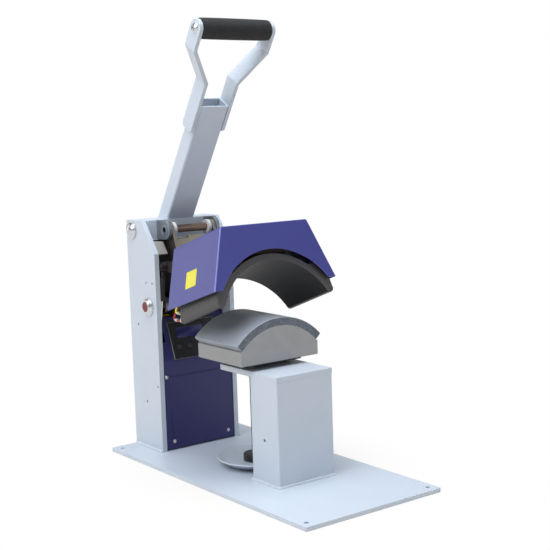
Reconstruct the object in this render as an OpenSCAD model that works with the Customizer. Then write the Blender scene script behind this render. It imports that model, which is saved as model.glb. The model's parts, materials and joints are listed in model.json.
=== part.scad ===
// Clamshell heat press for caps: a curved heated platen swings down on a fixed
// curved one, closed by a toggle linkage under a long lever.
// X runs to the operator's right, Y away from the operator, Z up.
// The origin is the middle of the base plate's underside.
// The head and the lever are drawn open, as the press stands when it waits.

/* [Base plate] */
// Width of the base plate
base_w = 240; // [200:5:320]
// Length of the base plate, front to back
base_l = 505; // [480:5:600]
// Thickness of the base plate
base_t = 6; // [4:1:10]
// Diameter of the four fixing holes
fixing_d = 7; // [5:0.5:9]
// Inset of the fixing holes from the plate's sides
fixing_inset_x = 12; // [10:1:20]
// Inset of the fixing holes from the plate's ends
fixing_inset_y = 14.5; // [10:0.5:20]

/* [Side plates] */
// Clear width between the two side plates
plate_gap = 130.8; // [130:0.2:140]
// Thickness of a side plate
plate_t = 8; // [6:0.5:10]
// Depth of a side plate, front to back
plate_d = 82.5; // [80:0.5:90]
// Height of a side plate above the base plate
plate_h = 365.5; // [365:0.5:380]
// Flat length left at the top of a side plate
plate_top_flat = 46.5; // [42:0.5:50]
// Height taken off the plate's top front corner
plate_slope_h = 50.5; // [46:0.5:52]
// Reach of the guide blocks from a side plate towards the middle
guide_reach = 16.9; // [10:0.1:17]

/* [Lever pivot and knee] */
// Diameter of the lever shaft
shaft_d = 16; // [12:0.5:16]
// Distance of the lever shaft from the plate's rear edge
lever_from_rear = 16.5; // [15:0.5:18]
// Distance of the lever shaft below the plate's top edge
lever_from_top = 15.5; // [15:0.5:18]
// Distance from the lever shaft forward to the knee shaft
knee_reach = 56; // [54:0.5:60]
// Diameter of the knee shaft
knee_d = 12; // [8:0.5:13]
// Thickness of an ear and of a link
ear_t = 6; // [4:0.2:6]
// Clear width between the two ears
ear_gap = 83; // [76:0.5:83]
// Length of a link between its two pins
link_l = 70.5; // [69:0.5:73]
// Lean of a link from upright in the open press, in degrees
link_lean = 20.4; // [19:0.2:22]
// Diameter of the pin at the foot of the links
link_pin_d = 10; // [7:0.5:11]
// Radius of a link's round ends
link_end_r = 12; // [11.5:0.5:13]

/* [Lever] */
// Width of the square tube across the lever's hub
hub_depth = 50; // [46:1:52]
// Height of the hub
hub_h = 31; // [28:0.5:31]
// Lean of the lever towards the operator in the open press, in degrees
lever_lean = 32.8; // [28:0.2:36]
// Width of the lever tube
lever_w = 50; // [40:1:56]
// Depth of the lever tube
lever_depth = 27.2; // [24:0.4:30]
// Length of the lever tube above the hub
lever_tube_l = 211; // [190:1:230]
// Wall of the lever tube and of the hub
lever_wall = 3; // [2:0.5:4]
// Length over which a fork arm overlaps the lever tube
arm_lap = 46; // [35:1:60]
// Straight stretch of a fork arm above the tube
arm_straight = 39; // [30:1:50]
// Length of a fork arm's slanted stretch
arm_slant = 53; // [45:1:60]
// Distance from the end of the slant to the grip's axis
arm_top = 30; // [26:1:40]
// Thickness of a fork arm
arm_t = 6; // [4:0.5:7]
// Clear width between the fork arms at the grip
grip_l = 122; // [110:1:130]
// Diameter of the foam grip
grip_d = 31; // [28:0.5:36]
// Diameter of the rod inside the grip
grip_rod_d = 14; // [10:0.5:16]

/* [Head] */
// Height of the head shaft above the floor
head_pivot_z = 237; // [236:0.5:240]
// Distance of the head shaft behind the side plates' front edge
head_pivot_in = 24.3; // [23:0.1:27]
// Angle by which the head stands open, in degrees
head_open = 20; // [18:0.5:21]
// Distance between the two head arms
arm_pair_gap = 54; // [48:1:54]
// Thickness of a head arm
head_arm_t = 8; // [5:0.5:8]
// Height of a head arm over the platen
head_arm_h = 22; // [20:0.5:22]
// Outer diameter of the tube that carries the head on its shaft
head_tube_d = 26; // [22:0.5:28]
// Thickness of the carrier plate over the upper platen
carrier_t = 6; // [4:0.5:6]
// Thickness of the insulating board under the carrier plate
board_t = 7; // [5:0.5:8]

/* [Head cover] */
// Depth of the head cover, front to back
cover_d = 131.8; // [126:0.2:136]
// Height of the head cover
cover_h = 91.3; // [88:0.3:94]
// Width of the cover's top
cover_top_w = 155.4; // [146:0.2:166]
// Width of the cover's lower edge
cover_bottom_w = 219.4; // [214:0.2:228]
// Radius of the arch cut in the cover's front
cover_arch_r = 113; // [112:0.5:114]
// Thickness of the cover's sheet
sheet_t = 1.5; // [1:0.1:2]
// Forward droop of the cover on its platen, in degrees
cover_droop = 2.6; // [2:0.1:3]

/* [Platens] */
// Length of both platens, front to back
platen_l = 111; // [100:1:114]
// Width of the lower platen
lower_w = 139.2; // [138:0.2:146]
// Radius of the lower platen's curved top
lower_r = 91; // [88:0.5:91]
// Height of the lower platen's straight edge
lower_edge = 21.6; // [18:0.2:24]
// Thickness of the silicone pad
pad_t = 11.5; // [8:0.5:11.5]
// Half angle that the pad covers, in degrees
pad_half = 47.6; // [46:0.2:48]
// Gap between the pad and the upper platen in the closed press
press_gap = 0.5; // [0.4:0.1:1]
// Wall of the upper platen
upper_wall = 9.6; // [8:0.2:9.8]
// Half angle that the upper platen covers, in degrees
upper_half = 66; // [62:0.5:67]
// Radius of the upper platen's rounded lower edges
upper_edge_r = 6.5; // [5:0.1:7]
// Distance by which the upper platen's front stands back
upper_front_in = 5.5; // [0:0.5:8]

/* [Pedestal and lift] */
// Width of the pedestal tube
pedestal_w = 100; // [90:1:110]
// Depth of the pedestal tube
pedestal_d = 64.4; // [56:0.2:65.4]
// Wall of the pedestal tube
pedestal_wall = 3; // [2:0.5:4]
// Thickness of the plate on top of the pedestal
support_t = 8; // [6:0.5:9]
// Length of that plate, front to back
support_l = 138.4; // [136:0.2:146]
// Gap between that plate and the lower platen
lift_gap = 9.4; // [9:0.1:12]
// Thickness of the spacer board under the lower platen
spacer_t = 4.4; // [3:0.1:5]
// Diameter of the lifting screw
screw_d = 12; // [12:0.5:18]
// Distance of the lifting screw in front of the middle of the side plates' front edge
screw_from_plates = 150; // [146:1:151]
// Diameter of the handwheel
wheel_d = 117; // [90:1:118]
// Diameter of the handwheel's knob
knob_d = 38; // [30:1:44]
// Height of the handwheel's knob
knob_h = 13; // [10:1:30]

/* [Front cover and controller] */
// Gap between the front cover's top and the tube of the head
cover_under_tube = 7.5; // [6.5:0.5:12]
// Width of the controller
control_w = 88; // [80:1:90]
// Length of the controller along its slope
control_l = 62; // [58:1:63]
// Backward tilt of the controller, in degrees
control_tilt = 20; // [15:1:22]
// Diameter of a controller button
button_d = 8; // [6:0.5:9]

/* [Gas spring] */
// Diameter of the spring's cylinder
spring_d = 12; // [10:0.5:12.5]
// Diameter of the spring's rod
spring_rod_d = 7; // [5:0.5:8]
// Diameter of the pins at the spring's eyes
spring_pin_d = 8; // [6:0.5:9]

/* [Hidden] */
$fn = 64;

// Clearances that several pieces share
run = 0.05;
side_play = 0.3;
seat_gap = 0.3;

// Names of the parts

// Side plates: outline corners in Y and Z
rear_y = base_l / 2;
plate_front = rear_y - plate_d;
plate_top = base_t + plate_h;
slope_top_y = rear_y - plate_top_flat;
slope_low_z = plate_top - plate_slope_h;
gap_half = plate_gap / 2;
plate_outer = gap_half + plate_t;

// Lever pivot, knee and foot of the links, in Y and Z
lever_c = [rear_y - lever_from_rear, plate_top - lever_from_top];
knee_c = lever_c + [-knee_reach, 1];
link_dir = [-sin(link_lean), -cos(link_lean)];
foot_c = knee_c + link_l * link_dir;
ear_in = ear_gap / 2;
ear_out = ear_in + ear_t;
ear_r = hub_h / 2;
link_in = ear_in - ear_t + side_play;
link_out = ear_in - side_play;

// Head pivot, and the same foot point when the head is turned down
head_c = [plate_front + head_pivot_in, head_pivot_z];
function turned(p, c, a) =
    c + [(p - c)[0] * cos(a) - (p - c)[1] * sin(a), (p - c)[0] * sin(a) + (p - c)[1] * cos(a)];
foot_shut = turned(foot_c, head_c, head_open);
arm_in = arm_pair_gap / 2;
arm_out = arm_in + head_arm_t;
arm_low = foot_shut[1] - head_arm_h / 2;

// Platens: both curves share one axis when the press is shut
arm_over_platen = 88.95;
lift_top = arm_low - arm_over_platen;
shoulder_z = lift_top + lower_edge;
pad_r = lower_r + pad_t;
upper_r = pad_r + press_gap;
curve_z = shoulder_z - sqrt(pow(lower_r, 2) - pow(lower_w / 2 - 1.6, 2));
platen_back = plate_front - 109;
platen_front = platen_back - platen_l;
board_top = arm_low - carrier_t;
boss_top = board_top - board_t;

// Pedestal and lift
support_top = lift_top - lift_gap;
pedestal_top = support_top - support_t;
pedestal_front = platen_front - 55.4;
pedestal_back = pedestal_front + pedestal_d;
support_back = pedestal_front + support_l;
screw_y = plate_front - screw_from_plates;
wheel_z = base_t + 4.4;

// Gas spring between the stud on the left plate and the head's bracket
spring_x = -58.5;
spring_low = [plate_front + 28.5, 148];
spring_top_shut = head_c + [-43.4, 51.2];
spring_top = turned(spring_top_shut, head_c, -head_open);
spring_len = norm(spring_top - spring_low);
spring_lean = atan2(spring_low[0] - spring_top[0], spring_top[1] - spring_low[1]);
eye_w = 8;
eye_r = spring_pin_d / 2 + 4;

// Front cover: upright below, tilted back with the controller above the bend
front_top = head_pivot_z - head_tube_d / 2 - cover_under_tube;
control_z = front_top - 7.24 - control_l * cos(control_tilt);
bend_z = control_z - 2;
control_y = plate_front + 2 * tan(control_tilt) - run;
front_back = (front_top - bend_z) * tan(control_tilt);
rim_lap = 1.5;
rear_top = lever_c[1] - 24;

// Extrudes an outline drawn in Y and Z from x0 to x1
module across(x0, x1) {
    translate([x0, 0, 0]) rotate([90, 0, 90]) linear_extrude(x1 - x0) children();
}

// Extrudes an outline drawn in X and Z from y0 to y1
module along(y0, y1) {
    translate([0, y1, 0]) rotate([90, 0, 0]) linear_extrude(y1 - y0) children();
}

// A round bar across the press from x0 to x1, at the point c in Y and Z
module bar(x0, x1, c, r) {
    translate([x0, c[0], c[1]]) rotate([0, 90, 0]) cylinder(h = x1 - x0, r = r);
}

// A box given by its low and high corners
module block(low, high) {
    translate(low) cube(high - low);
}

// The same shape on both sides of the press
module both_sides() {
    children();
    mirror([1, 0, 0]) children();
}

// Where the straight edge of a strap leaves the two end circles
function strap_edge(a, ra, b, rb, s) =
    let (t = atan2(b[1] - a[1], b[0] - a[0]), p = s * acos((ra - rb) / norm(b - a)))
    [a + ra * [cos(t + p), sin(t + p)], b + rb * [cos(t + p), sin(t + p)]];

// A flat strap across the press from x0 to x1, with round ends about a and b
module strap(x0, x1, a, ra, b, rb) {
    top = strap_edge(a, ra, b, rb, 1);
    low = strap_edge(a, ra, b, rb, -1);
    bar(x0, x1, a, ra);
    bar(x0, x1, b, rb);
    across(x0, x1) polygon([top[0], top[1], low[1], low[0]]);
}

// Outline of a ring's arc, centred on top, with square ends
module arc_band(r_in, r_out, half) {
    far = r_out * 2;
    intersection() {
        difference() {
            circle(r_out, $fn = 128);
            circle(r_in, $fn = 128);
        }
        polygon([[0, 0], far * [-sin(half), cos(half)], [-far, far], [far, far],
            far * [sin(half), cos(half)]]);
    }
}

// A rectangle with rounded corners
module round_rect(w, l, r) {
    square([w - 2 * r, l], center = true);
    square([w, l - 2 * r], center = true);
    for (x = [-1, 1], y = [-1, 1]) {
        translate([x * (w / 2 - r), y * (l / 2 - r)]) circle(r);
    }
}

// A shallow dome on the plane z = 0
module dome(r, h) {
    big = (r * r + h * h) / (2 * h);
    rotate_extrude() intersection() {
        translate([0, h - big]) circle(big);
        square([r, h]);
    }
}

// Puts a thing drawn on z = 0 on the right or left outer face, pointing outwards
module on_side(x, c) {
    translate([x, c[0], c[1]]) rotate([0, x > 0 ? 90 : -90, 0]) children();
}

// Turns the shut head up to where it waits
module open_head(angle) {
    translate([0, head_c[0], head_c[1]]) rotate([-angle, 0, 0])
        translate([0, -head_c[0], -head_c[1]]) children();
}

// Base plate with four fixing holes
module base_plate() {
    color("#C3CDDA") difference() {
        linear_extrude(base_t) round_rect(base_w, base_l, 3);
        for (x = [-1, 1], y = [-1, 1]) {
            translate([x * (base_w / 2 - fixing_inset_x), y * (base_l / 2 - fixing_inset_y), -1])
                cylinder(h = base_t + 2, d = fixing_d);
        }
    }
}

// Side plate outline: upright, with its top front corner sloped off
module side_plate(x0) {
    small_holes = [[29.3, 268], [10.6, 268.7], [58.5, 198.7], [6.4, 105], [41.4, 75.5]];
    color("#C3CDDA") difference() {
        across(x0, x0 + plate_t) polygon([[plate_front, base_t], [rear_y, base_t], [rear_y, plate_top],
            [slope_top_y, plate_top], [plate_front, slope_low_z]]);
        bar(x0 - 1, x0 + plate_t + 1, lever_c, shaft_d / 2 + run);
        bar(x0 - 1, x0 + plate_t + 1, head_c, shaft_d / 2 + run);
        for (h = small_holes) {
            bar(x0 - 1, x0 + plate_t + 1, [plate_front + h[0], base_t + h[1]], 2);
        }
    }
}

// Blocks on the side plates' inner faces that keep the knee straight
module guide_blocks() {
    low = slope_low_z - 1.5;
    high = low + 19;
    slope = (slope_top_y - plate_front) / plate_slope_h;
    color("#AEB6BF") both_sides() across(gap_half - guide_reach, gap_half)
        polygon([[plate_front, low], [plate_front + 30, low], [plate_front + 30, high],
            [plate_front + (high - slope_low_z) * slope, high], [plate_front, slope_low_z]]);
}

// The controller's own frame: X across, Y into it, Z up its slope
module on_slope() {
    translate([0, control_y, control_z]) rotate([-control_tilt, 0, 0]) children();
}

// Folded front cover: its upper part leans back and holds the controller
module front_cover() {
    half = gap_half - seat_gap;
    low = base_t + 2;
    lid_end = plate_front + 40;
    win = control_w / 2 - rim_lap + seat_gap;
    in_s = (front_top - sheet_t - bend_z + sheet_t * sin(control_tilt)) / cos(control_tilt);
    in_top_y = plate_front + sheet_t * cos(control_tilt) + in_s * sin(control_tilt);
    in_bend_z = bend_z - sheet_t * tan(control_tilt / 2);
    color("#33335F") difference() {
        union() {
            across(-half, half) polygon([[plate_front, low], [plate_front, bend_z],
                [plate_front + front_back, front_top], [lid_end, front_top], [lid_end, front_top - sheet_t],
                [in_top_y, front_top - sheet_t], [plate_front + sheet_t, in_bend_z], [plate_front + sheet_t, low]]);
            both_sides() across(half - sheet_t, half) polygon([[plate_front, low], [plate_front, bend_z],
                [plate_front + front_back, front_top], [plate_front + front_back + 14, front_top],
                [plate_front + 14, bend_z], [plate_front + 14, low]]);
        }
        on_slope() block([-win, -3, rim_lap - seat_gap], [win, 6, control_l - rim_lap + seat_gap]);
        for (p = front_screw_places()) {
            translate([p[0], plate_front - 1, p[1]]) rotate([-90, 0, 0])
                cylinder(h = sheet_t + 2, r = 2.1);
        }
        block([-half + sheet_t, plate_front - 1, front_top - 37.5],
            [spring_x + spring_rod_d / 2 + 1.5, lid_end, front_top - 5.5]);
    }
}

// Places of the front cover's screws, in X and Z
function front_screw_places() = [
    [-50.3, base_t + 13.5], [53.2, base_t + 13.5],
    [-gap_half + 5.2, control_z - 26.4], [gap_half - 5.2, control_z - 26.4]
];

// Pan-head screws in the front cover and the rear cover
module cover_screws() {
    color("#9A9CA6") {
        for (p = front_screw_places()) {
            translate([p[0], plate_front, p[1]]) rotate([90, 0, 0]) dome(3.6, 2);
            translate([p[0], plate_front, p[1]]) rotate([-90, 0, 0]) cylinder(h = 8, r = 2);
        }
        for (p = rear_screw_places()) {
            translate([p[0], rear_y - 2, p[1]]) rotate([-90, 0, 0]) dome(3.6, 2);
            translate([p[0], rear_y - 2, p[1]]) rotate([90, 0, 0]) cylinder(h = 8, r = 2);
        }
    }
}

// Black housing of the controller, with a pocket for the screen
module controller_housing() {
    color("#1B1B20") on_slope() difference() {
        block([-control_w / 2 + rim_lap, 0, rim_lap], [control_w / 2 - rim_lap, 20, control_l - rim_lap]);
        block([-37, -1, 33], [21, 2.1, 55]);
        for (x = button_places) {
            translate([x, -1, 19]) rotate([-90, 0, 0]) cylinder(h = 7, r = button_d / 2 + 0.3);
        }
    }
}

button_places = [-31, -11, 9, 29];

// Pale rim round the controller's face
module controller_bezel() {
    rim = 2.4;
    color("#C9C3B8") on_slope() difference() {
        block([-control_w / 2, -2, 0], [control_w / 2, 0, control_l]);
        block([-control_w / 2 + rim, -3, rim], [control_w / 2 - rim, 1, control_l - rim]);
    }
}

// Display in the controller's pocket
module controller_screen() {
    color("#23305F") on_slope() block([-36.8, 0.4, 33.2], [20.8, 2, 54.8]);
}

// One round push button of the controller
module push_button(x) {
    color("#D5D5D8") on_slope() translate([x, -1.8, 19]) rotate([-90, 0, 0])
        cylinder(h = 5.8, r = button_d / 2);
}

// Sheet cover at the back, with louvres, an inlet hole and a switch hole
module rear_cover() {
    half = gap_half - seat_gap;
    low = base_t + 2;
    high = rear_top;
    color("#33335F") difference() {
        union() {
            block([-half, rear_y - 2 - sheet_t, low], [half, rear_y - 2, high]);
            both_sides() block([half - sheet_t, rear_y - 14, low], [half, rear_y - 2, high]);
        }
        for (i = [0 : 6]) {
            block([-30, rear_y - 6, 120 + i * 11], [30, rear_y, 124 + i * 11]);
        }
        block(entry_low - [seat_gap, 4, seat_gap], entry_high + [seat_gap, 4, seat_gap]);
        for (p = rear_screw_places()) {
            translate([p[0], rear_y + 1, p[1]]) rotate([90, 0, 0]) cylinder(h = 8, r = 2.1);
        }
    }
}

function rear_screw_places() = [for (x = [-1, 1], z = [0, 1]) [x * (gap_half - 15), base_t + 14 + z * (rear_top - base_t - 28)]];

// Power entry: inlet and rocker side by side in one moulding
entry_low = [-40, rear_y - 24, 38];
entry_high = [30, rear_y - 2, 64];
inlet_x = -20;
rocker_x = 14;
rocker_r = 8;
rocker_w = 20;
rocker_c = [rear_y - rocker_r, (entry_low[2] + entry_high[2]) / 2];

// Moulded power entry with a three-pin inlet and the rocker's well
module power_inlet() {
    mid_z = rocker_c[1];
    color("#202024") difference() {
        union() {
            block(entry_low, entry_high);
            block([entry_low[0] - 4, rear_y - 2, entry_low[2] - 4], [entry_high[0] + 4, rear_y, entry_high[2] + 4]);
        }
        difference() {
            block([inlet_x - 13, rear_y - 18, mid_z - 9], [inlet_x + 13, rear_y + 1, mid_z + 9]);
            for (p = [[-7, 3], [0, -3], [7, 3]]) {
                block([inlet_x + p[0] - 1, rear_y - 19, mid_z + p[1] - 2],
                    [inlet_x + p[0] + 1, rear_y - 4, mid_z + p[1] + 2]);
            }
        }
        block([rocker_x - rocker_w / 2 - seat_gap, rear_y - 14, mid_z - rocker_r - seat_gap],
            [rocker_x + rocker_w / 2 + seat_gap, rear_y + 1, mid_z + rocker_r + seat_gap]);
    }
}

// Rocker of the power switch
module power_switch() {
    color("#B02A2A") intersection() {
        bar(rocker_x - rocker_w / 2, rocker_x + rocker_w / 2, rocker_c, rocker_r);
        block([rocker_x - rocker_w, rocker_c[0] - 1, rocker_c[1] - 7], [rocker_x + rocker_w, rear_y, rocker_c[1] + 7]);
    }
}

// Collars that keep the head in the middle of its shaft
module shaft_collars() {
    near = arm_out + 6 + side_play;
    color("#8A8D92") both_sides() difference() {
        bar(near, near + 8, head_c, shaft_d / 2 + 5);
        bar(near - 1, near + 9, head_c, shaft_d / 2 + run);
    }
}

// Shaft that carries the lever in the side plates
module lever_shaft() {
    color("#8A8D92") bar(-plate_outer, plate_outer, lever_c, shaft_d / 2);
}

// Large domed caps with washers on the lever shaft's ends
module lever_shaft_caps() {
    color("#C9CBCD") for (x = [-plate_outer, plate_outer]) {
        on_side(x, lever_c) cylinder(h = 1.6, r = 14.5);
        on_side(x + sign(x) * 1.6, lever_c) dome(12.5, 6.5);
    }
}

// Thrust washers between the hub and the side plates
module hub_washers() {
    color("#E4E4E0") both_sides() difference() {
        bar(gap_half - 1.2, gap_half, lever_c, 13);
        bar(gap_half - 2, gap_half + 1, lever_c, shaft_d / 2 + run);
    }
}

// Fixed shaft that carries the head
module head_shaft() {
    color("#7E5A50") bar(-plate_outer - 7, plate_outer + 7, head_c, shaft_d / 2);
}

// Conical nuts with washers on the head shaft's ends
module head_shaft_nuts() {
    color("#D2D3D3") for (x = [-plate_outer, plate_outer]) {
        on_side(x, head_c) difference() {
            rotate_extrude() polygon([[shaft_d / 2 + run, 0], [15, 0], [15, 1.6], [13.4, 1.6],
                [10.4, 6.6], [shaft_d / 2 + run, 6.6]]);
        }
    }
}

// Earth lead clipped along the top of the front cover
module earth_wire() {
    color("#D8CF3A") translate([-48, plate_front + 33.6, front_top + 1.6]) {
        rotate([0, 90, 0]) cylinder(h = 20, r = 1.6, $fn = 16);
        sphere(1.6, $fn = 16);
    }
}

// Stud on the left plate for the gas spring's lower eye
module spring_stud() {
    pin = spring_pin_d / 2;
    eye_far = spring_x - eye_w / 2;
    eye_near = spring_x + eye_w / 2;
    color("#8A8D92") {
        bar(-gap_half, eye_far - side_play, spring_low, pin + 3);
        bar(eye_far - side_play, eye_near + side_play, spring_low, pin);
        bar(eye_near + side_play, eye_near + side_play + 1.4, spring_low, pin + 2);
    }
}

// Rectangular tube that stands on the base plate
module pedestal_tube() {
    mid_y = (pedestal_front + pedestal_back) / 2;
    color("#C3CDDA") difference() {
        translate([0, mid_y, base_t]) linear_extrude(pedestal_top - base_t)
            round_rect(pedestal_w, pedestal_d, 2);
        block([-pedestal_w / 2 + pedestal_wall, pedestal_front + pedestal_wall, base_t - 1],
            [pedestal_w / 2 - pedestal_wall, pedestal_back - pedestal_wall, pedestal_top + 1]);
        bar(-pedestal_w / 2 - 1, -pedestal_w / 2 + pedestal_wall + 1, [mid_y + 1, base_t + 63.3], 2.5);
    }
}

guide_pin_places = [for (x = [-32, 32]) [x, platen_front + 28]];

// Plate on the pedestal that reaches back under the platen
module support_plate() {
    color("#C3CDDA") difference() {
        block([-pedestal_w / 2, pedestal_front, pedestal_top], [pedestal_w / 2, support_back, support_top]);
        translate([0, screw_y, pedestal_top - 1]) cylinder(h = support_t + 2, r = screw_d / 2 + 0.4);
        for (p = guide_pin_places) {
            translate([p[0], p[1], pedestal_top - 1]) cylinder(h = support_t + 2, r = 5 + run);
        }
    }
}

// Bronze nut under the support plate
module lift_nut() {
    color("#B08D57") translate([0, screw_y, pedestal_top - 12]) difference() {
        cylinder(h = 12, r = screw_d / 2 + 4.5);
        translate([0, 0, -1]) cylinder(h = 14, r = screw_d / 2 + run);
    }
}

// Black spacer board between the lifting screw and the lower platen
module platen_spacer() {
    color("#26262A") block([-45, platen_front + 10, lift_top - spacer_t], [45, platen_back - 11, lift_top]);
}

// Pins that keep the lower platen square while it is raised
module guide_pins() {
    color("#8A8D92") for (p = guide_pin_places) {
        translate([p[0], p[1], pedestal_top - 6]) cylinder(h = lift_top - spacer_t - pedestal_top + 6, r = 5);
    }
}

// Lower platen: a block whose top follows the forehead of a cap
module lower_platen() {
    color("#A5A9AB") along(platen_front, platen_back) {
        translate([-lower_w / 2, lift_top]) square([lower_w, lower_edge]);
        intersection() {
            translate([0, curve_z]) circle(lower_r, $fn = 128);
            translate([-lower_w / 2, shoulder_z - 1]) square([lower_w, lower_r]);
        }
    }
}

// Silicone pad bent over the lower platen
module silicone_pad() {
    color("#8F98A5") along(platen_front, platen_back) translate([0, curve_z])
        arc_band(lower_r + run, pad_r, pad_half);
}

// Screw that lifts the lower platen
module lift_screw() {
    color("#8A8D92") translate([0, screw_y, wheel_z]) cylinder(h = lift_top - spacer_t - wheel_z, r = screw_d / 2);
}

// Dished handwheel of thick sheet
module handwheel() {
    rim = wheel_d / 2;
    hole = screw_d / 2 + run;
    color("#C3CDDA") translate([0, screw_y, wheel_z]) rotate_extrude()
        polygon([[hole, 0], [rim - 12.5, 0], [rim, 8], [rim - 1.5, 9.3], [rim - 13.5, 2], [hole, 2]]);
}

// Black knob in the middle of the handwheel
module handwheel_knob() {
    color("#1D1D20") translate([0, screw_y, wheel_z + 2]) difference() {
        rotate_extrude() {
            square([knob_d / 2 - 2, knob_h - 2]);
            square([knob_d / 2, knob_h - 4]);
            translate([knob_d / 2 - 2, knob_h - 4]) circle(2);
        }
        translate([0, 0, -1]) cylinder(h = knob_h + 2, r = screw_d / 2 + run);
    }
}

// Head arm: from the head pivot over the foot of the link to the platen's carrier
module head_arm(x0) {
    slot_r = link_pin_d / 2 + 0.8;
    back = foot_shut - head_c;
    slot_end = foot_shut + 5.8 * [-back[1], back[0]] / norm(back);
    nose = platen_front + 15;
    top = arm_low + head_arm_h;
    color("#77706A") open_head(head_open) difference() {
        union() {
            strap(x0, x0 + head_arm_t, head_c, head_tube_d / 2 + 5, foot_shut, link_end_r + 1);
            across(x0, x0 + head_arm_t) polygon([[nose, arm_low], [foot_shut[0], arm_low],
                [foot_shut[0], top], [nose + 14, top], [nose, top - 10]]);
        }
        bar(x0 - 1, x0 + head_arm_t + 1, head_c, head_tube_d / 2 + run);
        strap(x0 - 1, x0 + head_arm_t + 1, foot_shut, slot_r, slot_end, slot_r);
    }
}

// Tube between the side plates that the head arms are welded to
module head_pivot_tube() {
    color("#77706A") open_head(head_open) difference() {
        bar(-arm_out - 6, arm_out + 6, head_c, head_tube_d / 2);
        bar(-gap_half, gap_half, head_c, shaft_d / 2 + run);
    }
}

boss_x = arm_out + 9;
boss_places = [for (x = [-1, 1], y = [platen_front + 20, platen_back - 20]) [x * boss_x, y]];

// Plate under the head arms that carries the heated platen
module carrier_plate() {
    color("#8C8778") open_head(head_open) difference() {
        block([-boss_x - 10, platen_front + 10, board_top], [boss_x + 10, platen_back - 8, arm_low]);
        bolt_holes(4 + 0.2);
    }
}

// Holes for the platen bolts, right through the head
module bolt_holes(r) {
    for (p = boss_places) {
        translate([p[0], p[1], boss_top - 8]) cylinder(h = 60, r = r);
    }
}

// Insulating board between the carrier plate and the platen
module insulating_board() {
    color("#D8CDB4") open_head(head_open) difference() {
        block([-boss_x - 9, platen_front + 11, boss_top], [boss_x + 9, platen_back - 9, board_top]);
        bolt_holes(4 + 0.2);
    }
}

// Bolts that hang the platen under the carrier plate
module platen_bolts() {
    color("#B9BBBE") open_head(head_open) for (p = boss_places) {
        translate([p[0], p[1], boss_top - 7]) cylinder(h = arm_low - boss_top + 7, r = 4);
        translate([p[0], p[1], arm_low]) cylinder(h = 5, r = 7, $fn = 6);
    }
}

// Upper platen: an arched casting with bosses and ridges for its heating element
module upper_platen() {
    outer = upper_r + upper_wall;
    end = upper_half - 3.4;
    color("#3A3B3D") open_head(head_open) difference() {
        union() {
            along(platen_front + upper_front_in, platen_back) translate([0, curve_z]) {
                arc_band(upper_r, outer, end);
                for (s = [-1, 1]) {
                    translate((upper_r + upper_edge_r) * [s * sin(end), cos(end)]) circle(upper_edge_r);
                }
            }
            for (p = boss_places) {
                translate([p[0], p[1], boss_top - 16]) cylinder(h = 16, r = 8);
            }
            for (y = [platen_front + 42, platen_back - 42], s = [0, 1]) {
                mirror([s, 0, 0]) translate([0, y, curve_z]) rotate([90, 0, 0]) rotate([0, 0, 30])
                    rotate_extrude(angle = 38) translate([outer - 2, 0]) circle(5.5);
            }
        }
        translate([0, platen_front - 1, curve_z]) rotate([-90, 0, 0])
            cylinder(h = platen_l + 2, r = upper_r, $fn = 128);
        for (p = boss_places) {
            translate([p[0], p[1], boss_top - 7.5]) cylinder(h = 8, r = 4 + run);
        }
    }
}

terminal_l = 12;
lead_straight = 3;
terminal_places = [for (a = [-61, -55]) (upper_r + upper_wall / 2) * [sin(a), cos(a)] + [0, curve_z]];

// White ceramic terminals on the platen's rear end
module heater_terminals() {
    color("#EDEBE4") open_head(head_open) for (p = terminal_places) {
        translate([p[0], platen_back, p[1]]) rotate([-90, 0, 0]) cylinder(h = terminal_l, r = 4, $fn = 32);
    }
}

// A straight lead from one point to another, with a round end
module lead(a, b) {
    d = b - a;
    translate(a) rotate([0, acos(d[2] / norm(d)), atan2(d[1], d[0])]) cylinder(h = norm(d), r = 1.5, $fn = 16);
    translate(b) sphere(1.8, $fn = 24);
}

// Red leads from the terminals back and up to the left head arm
module heater_wires() {
    color("#C02525") open_head(head_open) for (i = [0, 1]) {
        p = terminal_places[i];
        exit = [p[0], platen_back + terminal_l, p[1]];
        straight = exit + [0, lead_straight, 0];
        bend = [p[0] + 4, platen_back + 42, p[1] + 8];
        lead(exit, straight);
        lead(straight, bend);
        lead(bend, [-arm_out - 1.6, platen_back + 78, arm_low - 16 + 7 * i]);
    }
}

// The head cover's own frame: level, with the droop taken out
cover_front = platen_front - 2.8;
cover_back = cover_front + cover_d;
cover_over_arm = 17.95;
cover_top = arm_low + head_arm_h + cover_over_arm;
cover_low = cover_top - cover_h;
arch_z = curve_z + 15.5;
top_half = cover_top_w / 2;
low_half = cover_bottom_w / 2;
flare = (low_half - top_half) / cover_h;
stay_places = [cover_front + 28, cover_front + 88];
cover_screw_places = [for (x = [-31, 31], y = stay_places) [x, y + 8]];

// Bars on the head arms that the cover is screwed to
module cover_stays() {
    color("#77706A") difference() {
        open_head(head_open - cover_droop) for (y = stay_places) {
            block([-arm_out - 4, y, arm_low + head_arm_h - 6], [arm_out + 4, y + 16, cover_top - sheet_t]);
        }
        open_head(head_open) block([-100, platen_front - 40, arm_low - 60],
            [100, foot_shut[0], arm_low + head_arm_h]);
        open_head(head_open - cover_droop) screw_holes(2.4);
    }
}

module screw_holes(r) {
    for (p = cover_screw_places) {
        translate([p[0], p[1], cover_top - 8]) cylinder(h = 12, r = r);
    }
}

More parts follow.
